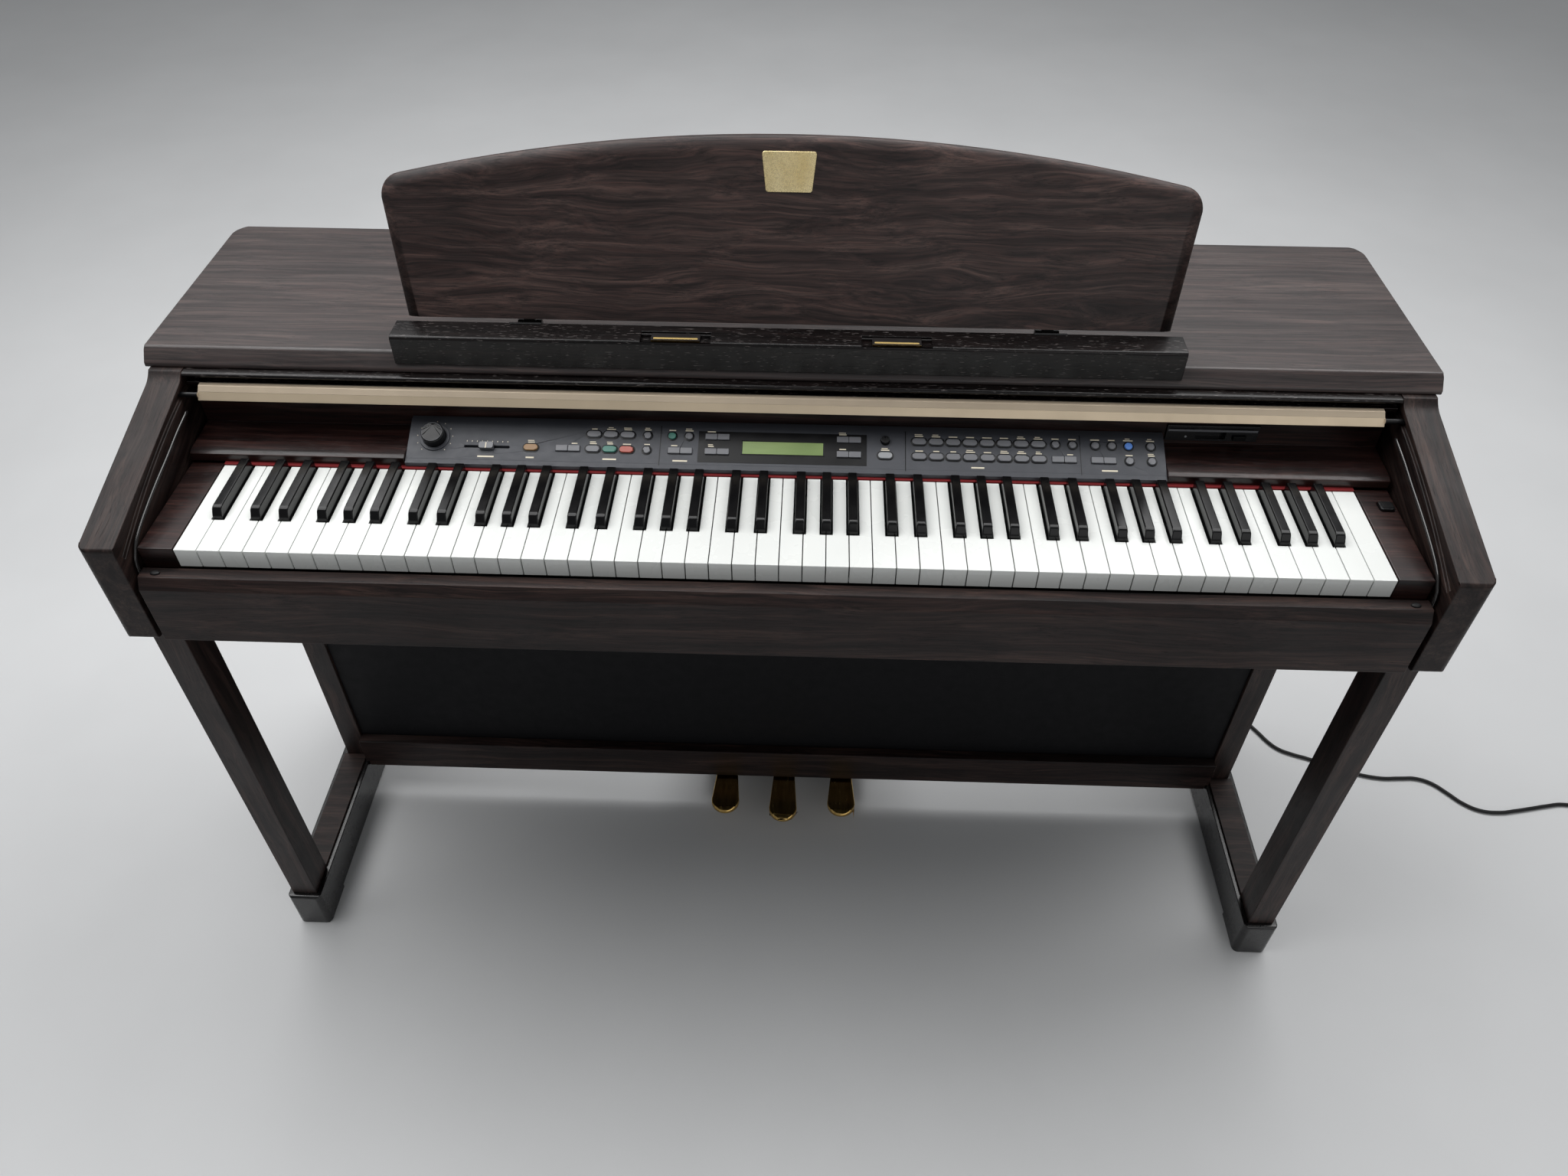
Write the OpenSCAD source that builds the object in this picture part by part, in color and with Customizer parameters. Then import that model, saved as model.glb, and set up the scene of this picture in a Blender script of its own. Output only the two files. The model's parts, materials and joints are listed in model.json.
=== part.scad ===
// Console digital piano on its stand: 88 keys, sliding key cover, control panel,
// folding music desk, three pedals and a power cord.
// +X is the player's right, -Y is the player's side, +Z is up.
// The origin is on the floor, midway across and midway front to back.

/* [Overall] */
// Depth from the front of the side arms to the back of the top board
depth = 518; // [480:1:640]
// Height of the white key tops above the floor
key_h = 720; // [600:1:880]
// Height of the top board's upper face above the white key tops
case_h = 101; // [96:1:130]

/* [Keyboard] */
// Distance from one white key to the next
white_pitch = 23.55; // [19:0.05:29]
// White key length in view, from the front edge to the felt
white_len = 138; // [132:1:166]
// Height of a white key's front face
white_t = 22.5; // [15:0.5:24]
// Gap between neighbouring keys
key_gap = 1; // [0.7:0.1:1.5]
// Black key length in view
black_len = 88; // [80:1:110]
// Black key width
black_w = 11.5; // [8:0.5:12]
// Black key height above the white keys
black_rise = 12; // [9:0.5:14]
// Width of the cheek block at each end of the keys
cheek_w = 36; // [24:1:80]

/* [Case] */
// Thickness of a side arm
arm_t = 36.5; // [25:0.5:60]
// How far the top board stands past the side arms
board_over = 5.5; // [0:0.5:20]
// Thickness of the top board
board_t = 19.3; // [14:0.1:24]
// Thickness of the key bed
bed_t = 15; // [10:1:24]
// Height of the key slip's front face
slip_h = 85; // [70:1:130]
// Thickness of the case back
back_t = 12; // [6:1:20]
// Height of the music desk at its middle
desk_h = 189.5; // [120:0.5:196]
// Half the width of the music desk's foot
desk_half = 411; // [250:1:560]
// Thickness of the music desk
desk_t = 18; // [12:1:24]
// Lean of the music desk from upright, in degrees
desk_lean = 20; // [14:1:30]

/* [Stand] */
// Height of a foot
foot_h = 66; // [40:1:90]
// Width of a foot
foot_w = 46; // [40:1:60]
// Width of a front leg
leg_w = 34; // [22:0.5:38]
// Depth of a front leg
leg_d = 44; // [30:1:60]
// Distance from the key fronts to the front of the side boards
side_in = 244; // [200:1:280]
// Thickness of the back panel
panel_t = 10; // [5:1:16]
// Height of the lower rail
rail_h = 57; // [45:1:90]
// Thickness of the lower rail
rail_t = 16; // [12:1:24]
// Distance between neighbouring pedals
pedal_pitch = 88; // [60:1:120]
// Width of a pedal's toe
toe_w = 42; // [28:1:48]

/* [Controls] */
// Half the width of the control panel
panel_half = 413; // [412:1:520]
// Radius of the volume knob
knob_r = 12.5; // [9:0.5:15]
// Diameter of a round button
round_d = 8.4; // [6:0.2:9.4]
// Travel of a button
press = 1; // [0.6:0.1:1.4]

/* [Hidden] */

// Curve quality for round parts
$fn = 64;
// Small play between fixed pieces that lie side by side
seam = 0.3;
// Play between a moving piece and the pocket it moves in
play = 0.35;
// Amount that a cutting tool stands past the piece that it cuts
past = 1;

// Main planes
key_front = -depth / 2 + 25;
arm_front = -depth / 2;
board_back = depth / 2;
case_rear = board_back - 8;
white_n = 52;
keys_half = white_n * white_pitch / 2;
arm_in = keys_half + 1.2 + cheek_w;
side_gap = 5.5;
arm_face = arm_in + side_gap;
arm_out = arm_face + arm_t;
slip_top = key_h - 22;
case_bottom = slip_top - slip_h;
bed_top = case_bottom + bed_t;
board_top = key_h + case_h;
board_under = board_top - board_t;

// Keys
key_pivot_y = key_front + white_len + 77;
key_pivot_z = key_h - white_t + 3;
key_end = key_pivot_y + 5;
head_len = white_len - black_len - 2;
name_front = key_front + white_len + 5;
riser_y = name_front + 55;
shelf_z = key_h + 9;
felt_top = key_h + 1.5;

// Key cover: a curved sheet that turns about a far axis
cover_r = 820;
cover_t = 6;
cover_top = board_under - 2.2;
cover_axis_z = cover_top - cover_r;
cover_axis_y = key_front + 320.3;
cover_front = key_front + 194;
cover_from = asin((cover_axis_y - cover_front) / cover_r);
cover_to = -6.1;
pin_r = 3;
pin_track = cover_r - cover_t;
pin_angle = 9.8;
pin_travel = 14;
groove_d = 4;

// Control panel plane
panel_y = name_front - 1.5;
panel_z = key_h + 6.6;
panel_tilt = 24.7;
panel_l = 54;
pocket = 4.6;
row_high = 40;
row_low = 22;
oval_l = 15.5;
oval_w = 7.6;
voice_pitch = 18.5;
pair_w = 13;
cap_rise = 2;
ring_r = knob_r + 4;

// Music desk
ledge_half = desk_half + 10;
ledge_front = key_front + 205;
ledge_top = board_top + 24;
desk_y = key_front + 243.3;
desk_foot = ledge_top + 1.6;
desk_corner = 25;
hinge_x = 0.684 * desk_half;
hinge_w = 33;
axis_drop = 8;
hinge_y = desk_y + desk_t * cos(desk_lean) - axis_drop * sin(desk_lean);
hinge_z = desk_foot - desk_t * sin(desk_lean) - axis_drop * cos(desk_lean);
knuckle_r = 4.5;
clip_x = 117;
clip_w = 52;
clip_d = 13;
clip_t = 3;
clip_pin_r = 0.9;
clip_pin_half = clip_w / 2 + 15;
clip_axis_y = ledge_front + 18;
clip_axis_z = ledge_top - 1.8;

// Stand
leg_mid = arm_face + 11;
side_mid = leg_mid - 3;
side_t = leg_w - 2.5;
board_in = side_mid - side_t / 2;
side_front = key_front + side_in;
side_rear = case_rear - 45;
foot_front = key_front - 7;
foot_rear = case_rear - 20;
foot_soft = 5;
leg_front = foot_front + 8;
rail_z = foot_h - 9;
rail_front = side_front - 12;
pedal_axis_y = rail_front + 88;
pedal_axis_z = rail_z - 6;
pedal_tip = rail_front - 61;
box_z = rail_z - 24;
middle_more = 12;
pedal_pin_r = 3;
neck_w = toe_w - 10;
panel_lap = 10;

// Media drive
drive_x0 = panel_half + 4;
drive_w = 100;
drive_z = key_h + 20;
drive_h = 20;
slot_w = 94;
slot_h = 4.6;

// Cord
cord_d = 5.5;
inlet_x = arm_in - 49.5;
inlet_y = case_rear - back_t - 15;
connector_l = 34;
relief_l = 18;
coil_r = 31;
coil_x = inlet_x + 690;
coil_y = inlet_y - 196;
cord_top = case_bottom - connector_l - relief_l;
// Hanging length: x and y from the inlet, then the part of the drop that is left
cord_hang = [[0, 0, 1], [0, 0, 0.963], [0, 2, 0.856], [1, 5, 0.749], [2, 8, 0.642],
  [3, 10, 0.535], [3, 12, 0.428], [4, 13, 0.321], [5, 14, 0.214], [6, 15, 0.134],
  [9, 16, 0.071], [16, 17, 0.03]];
// Length on the floor: x and y from the inlet, then the height
cord_floor = [[30, 19, 6], [50, 20, 3.5], [75, 19, 3], [100, 13, 3], [122, 1, 3],
  [142, -16, 3], [158, -33, 3], [172, -52, 3], [183, -70, 3], [193, -87, 3],
  [206, -101, 3], [224, -110, 3], [249, -119, 3], [280, -133, 3], [315, -146, 3],
  [355, -154, 3], [385, -153, 3], [411, -153, 3], [432, -162, 3], [449, -179, 3],
  [466, -198, 3], [488, -211, 3], [518, -214, 3], [543, -210, 3], [568, -205, 3],
  [596, -199, 3], [624, -195, 3], [644, -200, 3], [653, -210, 3]];
cord_points = concat([for (p = cord_hang) [inlet_x + p[0], inlet_y + p[1], cord_top * p[2]]],
  [for (p = cord_floor) [inlet_x + p[0], inlet_y + p[1], p[2]]]);

// ---- Helpers ----

// A profile in the Y-Z plane, drawn as [y, z] points, made w wide about x = 0
module along_x(w)
  rotate([90, 0, 90])
    translate([0, 0, -w / 2])
      linear_extrude(w)
        children();

// The same shape on both sides
module both() {
  children();
  mirror([1, 0, 0])
    children();
}

// A box from one corner to the other
module block(a, b)
  translate(a)
    cube(b - a);

// The control panel's own plane: x across, y up the slope, z out of the panel
module on_panel()
  translate([0, panel_y, panel_z])
    rotate([panel_tilt, 0, 0])
      children();

// An outline with round ends, l long and w wide
module stadium(l, w) {
  square([l - w, w], center = true);
  for (side = [-1, 1])
    translate([side * (l - w) / 2, 0])
      circle(d = w);
}

// A rectangle with round corners, centred
module soft_rect(l, w, r) {
  square([l - 2 * r, w], center = true);
  square([l, w - 2 * r], center = true);
  for (sx = [-1, 1], sy = [-1, 1])
    translate([sx * (l / 2 - r), sy * (w / 2 - r)])
      circle(r);
}

// ---- Stand ----

module foot() {
  color("#0f0c0d")
    intersection() {
      translate([leg_mid, 0, 0])
        along_x(foot_w)
          difference() {
            union() {
              translate([foot_front, 0])
                square([foot_rear - foot_front, foot_h - foot_soft]);
              translate([foot_front + foot_soft, foot_h - foot_soft])
                square([foot_rear - foot_front - 2 * foot_soft, foot_soft]);
              for (y = [foot_front + foot_soft, foot_rear - foot_soft])
                translate([y, foot_h - foot_soft])
                  circle(foot_soft);
            }
            translate([foot_front + 60, -past])
              square([foot_rear - foot_front - 120, 6 + past]);
          }
      translate([leg_mid, (foot_front + foot_rear) / 2, 0])
        linear_extrude(foot_h)
          soft_rect(foot_w, foot_rear - foot_front, 8);
    }
  color("#2e2022")
    block([leg_mid - leg_w / 2, leg_front + leg_d + seam, foot_h],
      [leg_mid + leg_w / 2, side_front - seam, foot_h + 4]);
}

module foot_left() mirror([1, 0, 0]) foot();
module foot_right() foot();

module front_leg()
  color("#35282a")
    block([leg_mid - leg_w / 2, leg_front, foot_h],
      [leg_mid + leg_w / 2, leg_front + leg_d, case_bottom]);

module front_leg_left() mirror([1, 0, 0]) front_leg();
module front_leg_right() front_leg();

module side_board()
  color("#35282a")
    block([board_in, side_front, foot_h], [board_in + side_t, side_rear, case_bottom]);

module side_board_left() mirror([1, 0, 0]) side_board();
module side_board_right() side_board();

module back_panel()
  color("#15161a")
    block([-board_in + seam, rail_front + rail_t + seam, rail_z + rail_h - panel_lap],
      [board_in - seam, rail_front + rail_t + seam + panel_t, case_bottom]);

module lower_rail()
  color("#2e2022")
    difference() {
      block([-board_in + seam, rail_front, rail_z],
        [board_in - seam, rail_front + rail_t, rail_z + rail_h]);
      both()
        block([leg_mid - foot_w / 2 - seam, rail_front - past, rail_z - past],
          [leg_mid, rail_front + rail_t + past, foot_h + seam]);
    }

module pedal_box() {
  box_half = pedal_pitch + toe_w / 2 + 24;
  box_y = rail_front + rail_t + 2 * seam + panel_t;
  box_l = pedal_axis_y - box_y + 25;
  color("#121214")
    difference() {
      block([-box_half, box_y, box_z], [box_half, box_y + box_l, rail_z + rail_h]);
      block([-box_half + 8, box_y - past, box_z + 3], [box_half - 8, box_y + box_l - 8, rail_z + rail_h - 8]);
    }
  color("#8c8c8e")
    translate([0, pedal_axis_y, pedal_axis_z])
      rotate([0, 90, 0])
        cylinder(h = 2 * box_half - 8, r = pedal_pin_r, center = true);
  color("#121214")
    translate([0, box_y + box_l / 2, 0])
      cylinder(h = box_z + seam, r = 14);
}

// One pedal: a round toe that narrows to a neck and an arm, under the rail to the pivot
module pedal(x, tip)
  color("#b9954a")
    translate([x, 0, 0])
      difference() {
        intersection() {
          along_x(toe_w + 2)
            polygon([[tip - 2, pedal_axis_z - 9], [tip + 50, pedal_axis_z - 9],
              [pedal_axis_y + 8, pedal_axis_z - 6], [pedal_axis_y + 8, pedal_axis_z + 6],
              [rail_front + 30, pedal_axis_z + 2], [tip + 50, pedal_axis_z + 1],
              [tip + 8, pedal_axis_z], [tip - 2, pedal_axis_z - 4]]);
          linear_extrude(2 * pedal_axis_z) {
            translate([0, tip + toe_w / 2])
              circle(d = toe_w);
            polygon([[-toe_w / 2 + 0.2, tip + toe_w / 2 + 2], [toe_w / 2 - 0.2, tip + toe_w / 2 + 2],
              [neck_w / 2, rail_front + 12], [-neck_w / 2, rail_front + 12]]);
            translate([-neck_w / 2, rail_front + 11])
              square([neck_w, pedal_axis_y + 8 - rail_front - 11]);
          }
        }
        translate([0, pedal_axis_y, pedal_axis_z])
          rotate([0, 90, 0])
            cylinder(h = toe_w + 4, r = pedal_pin_r + 0.06, center = true);
      }

module pedal_left() pedal(-pedal_pitch, pedal_tip);
module pedal_middle() pedal(0, pedal_tip - middle_more);
module pedal_right() pedal(pedal_pitch, pedal_tip);

// ---- Case ----

module key_bed()
  color("#241b1c")
    difference() {
      block([-arm_face + seam, key_front - 3, case_bottom],
        [arm_face - seam, case_rear - back_t - seam, bed_top]);
      translate([inlet_x, inlet_y, case_bottom - past])
        linear_extrude(bed_t + 2 * past)
          soft_rect(30 + 2 * seam, 22 + 2 * seam, 2);
    }

module key_slip()
  color("#35282a")
    along_x(2 * (arm_in - seam))
      polygon([[key_front - 25, case_bottom], [key_front - 25, slip_top - 12],
        [key_front - 18, slip_top], [key_front - 3 - seam, slip_top],
        [key_front - 3 - seam, case_bottom]]);

// Side arm outline: upright front, straight slope, hollow curve up to the board
function arm_slope(y) = key_h + 21 + (y - key_front + 18) * 0.2567;
nose_r = 5;
nose_z = arm_slope(arm_front + nose_r * (1 - cos(75))) - nose_r * sin(75);
edge_r = 9;
arm_bow = 30;
arm_bow_y = key_front + 174;
arm_bow_z = arm_slope(arm_bow_y + arm_bow * sin(14.4)) + arm_bow * cos(14.4);

module arm_outline()
  polygon(concat([[case_rear, case_bottom], [arm_front + 8, case_bottom]],
    [for (a = [0:15:90]) [arm_front + 6 - 6 * sin(a), case_bottom + 6 - 6 * cos(a)]],
    [for (a = [0:15:75]) [arm_front + nose_r - nose_r * cos(a), nose_z + nose_r * sin(a)]],
    [for (a = [-75:7:-40]) [arm_bow_y + arm_bow * cos(a), min(arm_bow_z + arm_bow * sin(a), board_under)]],
    [[arm_bow_y + arm_bow * cos(40) + 3, board_under], [case_rear, board_under]]));

// A curved band about the key cover's axis, w wide, from one angle to another
module cover_band(r0, r1, from, to, w) {
  steps = ceil(abs(to - from) / 0.5);
  function at(i) = from + (to - from) * i / steps;
  translate([0, cover_axis_y, cover_axis_z])
    along_x(w)
      polygon(concat([for (i = [0:steps]) r1 * [-sin(at(i)), cos(at(i))]],
        [for (i = [steps:-1:0]) r0 * [-sin(at(i)), cos(at(i))]]));
}

// Side arm seen from above: the front outer edge is round
module arm_plan() {
  translate([arm_face, arm_front])
    square([arm_t - edge_r, case_rear - arm_front]);
  translate([arm_face, arm_front + edge_r])
    square([arm_t, case_rear - arm_front - edge_r]);
  translate([arm_out - edge_r, arm_front + edge_r])
    circle(edge_r);
}

module side_arm()
  color("#35282a")
    difference() {
      intersection() {
        translate([arm_face + arm_t / 2, 0, 0])
          along_x(arm_t)
            arm_outline();
        linear_extrude(board_top)
          arm_plan();
      }
      translate([arm_face, 0, 0])
        cover_band(pin_track - pin_r - 1, pin_track + pin_r + 1,
          pin_angle + pin_travel + 0.5, cover_to - 1, 2 * groove_d);
    }

module side_arm_left() mirror([1, 0, 0]) side_arm();
module side_arm_right() side_arm();

module top_board()
  color("#3a2c2e")
    intersection() {
      along_x(2 * (arm_out + board_over))
        polygon([[key_front + 203, board_under], [key_front + 203.5, board_under + 4],
          [key_front + 214, board_top - 2], [key_front + 217, board_top],
          [board_back - 3, board_top], [board_back, board_top - 3],
          [board_back, board_under + 3], [board_back - 3, board_under]]);
      linear_extrude(2 * board_top)
        union() {
          translate([0, -25])
            square([2 * (arm_out + board_over), 2 * board_back], center = true);
          square([2 * (arm_out + board_over - 25), 2 * board_back], center = true);
          for (side = [-1, 1])
            translate([side * (arm_out + board_over - 25), board_back - 25])
              circle(25);
        }
    }

module case_back()
  color("#1d1718")
    block([-arm_face + seam, case_rear - back_t, case_bottom],
      [arm_face - seam, case_rear, board_under]);

module cheek_block()
  block([keys_half + 1.2, key_front + 1, bed_top], [arm_in - seam, name_front - seam, key_h]);

module switch_place()
  translate([arm_in - 11.5, key_front + 114, key_h])
    children();

module cheek_block_left()
  color("#2e2022")
    mirror([1, 0, 0])
      cheek_block();

module cheek_block_right()
  color("#2e2022")
    difference() {
      cheek_block();
      switch_place()
        translate([0, 0, -7])
          linear_extrude(7 + past)
            soft_rect(15 + 2 * play, 14 + 2 * play, 3 + play);
    }

module power_switch()
  color("#0b0b0c")
    switch_place()
      translate([0, 0, -4])
        linear_extrude(6.5)
          soft_rect(15, 14, 3);

module name_board()
  color("#2b1c1e")
    difference() {
      along_x(2 * (arm_in - seam))
        polygon([[name_front, felt_top + 0.3], [name_front, key_h + 11], [name_front + 6, key_h + 13.5],
          [riser_y, key_h + 15.5], [riser_y, key_h + 56], [riser_y + 8, key_h + 56],
          [riser_y + 8, felt_top + 0.3]]);
      block([drive_x0 - seam, riser_y - past, drive_z - seam],
        [drive_x0 + drive_w + seam, riser_y + 8 + past, drive_z + drive_h + seam]);
      block([-panel_half - seam, name_front - past, shelf_z],
        [panel_half + seam, riser_y, key_h + 20]);
      block([-panel_half - seam, name_front - past, key_h],
        [panel_half + seam, name_front + 4, key_h + 20]);
    }

module media_drive()
  color("#111113")
    difference() {
      block([drive_x0, riser_y - 2, drive_z], [drive_x0 + drive_w, riser_y + 100, drive_z + drive_h]);
      block([drive_x0 + 3, riser_y - 2 - past, drive_z + drive_h - 4 - slot_h],
        [drive_x0 + 3 + slot_w, riser_y + 92, drive_z + drive_h - 4]);
      block([drive_x0 + 33, riser_y - 2 - past, drive_z + 2],
        [drive_x0 + 65, riser_y + 6, drive_z + drive_h - 6]);
      block([drive_x0 + 73 - play, riser_y - 2 - past, drive_z + 3 - play],
        [drive_x0 + 87 + play, riser_y + 8, drive_z + 8 + play]);
    }

module eject_key()
  color("#1c1c1f")
    block([drive_x0 + 73, riser_y - 5, drive_z + 3], [drive_x0 + 87, riser_y + 4, drive_z + 8]);

module cover_trim()
  color("#241a1b")
    along_x(2 * (arm_face - 1))
      polygon(concat([for (a = [-90:30:90]) [key_front + 196 - 4 * cos(a), board_under - 3.3 + 3 * sin(a)]],
        [[key_front + 230, board_under - 0.2], [key_front + 230, board_under - 1.8],
        [key_front + 216, board_under - 5], [key_front + 204, board_under - 6.3]]));

module key_cover() {
  color("#2b1c1e")
    cover_band(cover_r - cover_t, cover_r, cover_from, cover_to, 2 * (arm_face - 2));
  color("#a9a9ab")
    cover_pins(cover_to + 0.8, 5);
}

// A pair of guide pins that run in the side arms' tracks, each reaching in by l
module cover_pins(a, l)
  both()
    translate([arm_face - l, cover_axis_y - pin_track * sin(a), cover_axis_z + pin_track * cos(a)])
      rotate([0, 90, 0])
        cylinder(h = l + groove_d - 0.8, r = pin_r);

module cover_strip() {
  y0 = cover_front - 0.2;
  z0 = cover_axis_z + sqrt(pow(cover_r, 2) - pow(cover_axis_y - cover_front, 2));
  strip_half = arm_in - 12;
  color("#b3a37f")
    along_x(2 * strip_half)
      polygon([[y0, z0], [y0 - 5.5, z0 - 0.4], [y0 - 10.5, z0 - 5.5], [y0 - 15.5, z0 - 13.4],
        [y0 - 13.4, z0 - 13.8], [y0 - 8, z0 - 7.6], [y0, z0 - 6.2]]);
  color("#a9a9ab")
    cover_pins(pin_angle, arm_face - strip_half + 0.5);
}

// ---- Control panel ----

// Each control is [x, y, kind]: 1 oval, 2 round, 3 one half of a pair
song_set = concat([[-277, row_low, 1]],
  [for (i = [0, 1]) [-243 + i * 13.4, row_low, 3]],
  [for (i = [0:2], y = [row_high, row_low]) [-209 + i * voice_pitch, y, 1]],
  [for (y = [row_high, row_low]) [-150, y, 2]]);
tempo_set = concat([for (i = [0, 1]) [-123 + i * voice_pitch, row_high, 2]],
  [for (i = [0, 1]) [-120.2 + i * 13.4, row_low, 3]]);
menu_set = concat([for (x = [-80, -66.6, 63.8, 77.2], y = [row_high, row_low]) [x, y, 3]],
  [[110, row_low, 1]]);
voice_set = concat([for (i = [0:7], y = [row_high, row_low]) [147 + i * voice_pitch, y, 1]],
  [for (i = [0, 1]) [295 + i * voice_pitch, row_high, 2]],
  [for (i = [0, 1]) [297 + i * 13.4, row_low, 3]]);
effect_set = concat([for (i = [0:2]) [338 + i * 18, row_high, 2]], [[398, row_high, 2]],
  [for (i = [0, 1]) [339.4 + i * 13.4, row_low, 3]], [[374, row_low, 2], [398, row_low, 2]]);

module cap_outline(kind, grow) {
  if (kind == 1)
    stadium(oval_l + 2 * grow, oval_w + 2 * grow);
  if (kind == 2)
    circle(d = round_d + 2 * grow);
  if (kind == 3)
    square([pair_w + 2 * min(grow, 0.15), oval_w - 0.6 + 2 * grow], center = true);
}

module caps(set, grow, low, high)
  on_panel()
    for (c = set)
      translate([c[0], c[1], low])
        linear_extrude(high - low)
          cap_outline(c[2], grow);

module button_caps(set)
  color("#6d7278")
    caps(set, 0, -pocket + press + 0.6, cap_rise);

module song_buttons() button_caps(song_set);
module tempo_buttons() button_caps(tempo_set);
module menu_buttons() button_caps(menu_set);
module voice_buttons() button_caps(voice_set);
module effect_buttons() button_caps(effect_set);

knob_x = -384;
knob_v = 32;
trim_x = 110;
trim_r = 4.6;
slider_x = -325.5;
slider_half = 23;
display_x = -1.5;
display_w = 88;
display_l = 15;
display_v = 28.2;

module control_panel() {
  color("#3f4147")
    difference() {
      along_x(2 * panel_half)
        polygon([[panel_y, felt_top + 0.3], [panel_y, panel_z],
          [panel_y + panel_l * cos(panel_tilt), panel_z + panel_l * sin(panel_tilt)],
          [riser_y - seam, panel_z + panel_l * sin(panel_tilt)],
          [riser_y - seam, shelf_z + seam], [name_front + 4 - seam, shelf_z + seam],
          [name_front + 4 - seam, felt_top + 0.3]]);
      for (set = [song_set, tempo_set, menu_set, voice_set, effect_set])
        caps(set, play, -pocket, past);
      on_panel() {
        translate([knob_x, knob_v, -pocket])
          cylinder(h = pocket + past, r = knob_r + play);
        translate([trim_x, row_high, -pocket])
          cylinder(h = pocket + past, r = trim_r + play);
        translate([slider_x, row_low, -pocket])
          linear_extrude(pocket + past)
            stadium(2 * slider_half + 4, 3);
        translate([display_x, display_v, -1.5])
          linear_extrude(pocket)
            square([display_w + 2 * seam, display_l + 2 * seam], center = true);
      }
    }
  color("#0b0b0c")
    on_panel()
      translate([knob_x, knob_v, 0])
        difference() {
          cylinder(h = 1.6, r = ring_r);
          translate([0, 0, -past])
            cylinder(h = 4, r = knob_r + play);
        }
}

module volume_knob()
  color("#0e0e10")
    on_panel()
      translate([knob_x, knob_v, -pocket + 0.5])
        difference() {
          union() {
            cylinder(h = pocket + 11, r = knob_r);
            translate([0, 0, pocket + 11])
              cylinder(h = 1.2, r = knob_r - 1.2);
          }
          translate([0, knob_r - 2.5, pocket + 11.4])
            cylinder(h = 2, r = 1);
        }

module contrast_knob()
  color("#0e0e10")
    on_panel()
      translate([trim_x, row_high, -pocket + 0.5])
        difference() {
          cylinder(h = pocket + 4, r = trim_r);
          translate([0, trim_r / 2 + 1, pocket + 4])
            cube([1, trim_r, 2], center = true);
        }

module balance_slider()
  color("#7b8086")
    on_panel()
      translate([slider_x, row_low, 0]) {
        translate([0, 0, -pocket + 0.5])
          linear_extrude(pocket + 1)
            square([6, 2.2], center = true);
        translate([0, 0, 0.4])
          linear_extrude(4.5)
            soft_rect(16, 8, 2);
      }

module display_window()
  color("#7fa04f")
    on_panel()
      translate([display_x, display_v, -1.5])
        linear_extrude(1.4)
          square([display_w, display_l], center = true);

// ---- Music rest ----

module clip_recess() {
  block([clip_x - clip_w / 2 - 11, clip_axis_y - clip_d - 3, clip_axis_z - clip_t / 2 - 0.6],
    [clip_x + clip_w / 2 + 11, clip_axis_y + 3, ledge_top + past]);
  translate([clip_x, clip_axis_y, clip_axis_z])
    rotate([0, 90, 0])
      cylinder(h = 2 * clip_pin_half, r = clip_pin_r + 0.06, center = true);
}

// Distance back of the top board's sloping front face at height z
function board_face(z) = key_front + 203.5 + (z - board_under - 4) * 10.5 / (board_t - 6);
lip_z = board_under + 4 + 0.39 * (board_t - 6);

module music_ledge()
  color("#1a1214")
    difference() {
      along_x(2 * ledge_half)
        polygon([[ledge_front, lip_z], [ledge_front, ledge_top - 4],
          [ledge_front + 1.2, ledge_top - 1.2], [ledge_front + 4, ledge_top],
          [ledge_front + 33, ledge_top], [ledge_front + 33, hinge_z - 2],
          [hinge_y + 10, hinge_z - knuckle_r - 2.3], [hinge_y + 10, board_top],
          [key_front + 217 - seam, board_top], [board_face(board_top - 2) - seam, board_top - 2],
          [board_face(lip_z) - seam, lip_z]]);
      both()
        clip_recess();
      both()
        block([hinge_x - hinge_w / 2 - 2, ledge_front + 34.5, hinge_z - knuckle_r - 3],
          [hinge_x + hinge_w / 2 + 2, hinge_y + 10 + past, ledge_top + past]);
    }

// Desk outline in its own plane: x across, y up from the foot
desk_bow = 1915;
corner_x = desk_half + 14.5 - desk_corner;
corner_a = 90 - atan(corner_x / desk_bow);
bow_end = corner_x + desk_corner * cos(corner_a);
function desk_top(x) = desk_h - pow(x, 2) / (2 * desk_bow);
function desk_edge(a) = [corner_x + desk_corner * cos(a),
  desk_top(bow_end) + desk_corner * (sin(a) - sin(corner_a))];

module desk_outline()
  polygon(concat([[-desk_half, 0], [desk_half, 0]],
    [for (i = [0:8]) desk_edge(corner_a * i / 8)],
    [for (i = [11:-1:-11]) [bow_end * i / 12, desk_top(bow_end * i / 12)]],
    [for (i = [8:-1:0]) let (e = desk_edge(corner_a * i / 8)) [-e[0], e[1]]]));

// The desk's plane: x across, y up the desk, z from its back face to its front
module on_desk()
  translate([0, desk_y, desk_foot])
    rotate([90 - desk_lean, 0, 0])
      translate([0, 0, -desk_t])
        children();

module music_desk() {
  color("#2a1b1c")
    on_desk()
      linear_extrude(desk_t)
        desk_outline();
  color("#8d7a45")
    both()
      difference() {
        translate([hinge_x, 0, 0])
          union() {
            translate([0, hinge_y, hinge_z])
              rotate([0, 90, 0])
                cylinder(h = 13, r = knuckle_r, center = true);
            translate([0, hinge_y, hinge_z])
              rotate([-desk_lean, 0, 0])
                translate([-6, -6, 0])
                  cube([12, 6, 22]);
          }
        translate([hinge_x, hinge_y, hinge_z])
          rotate([0, 90, 0])
            cylinder(h = 20, r = 2.05, center = true);
      }
}

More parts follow.
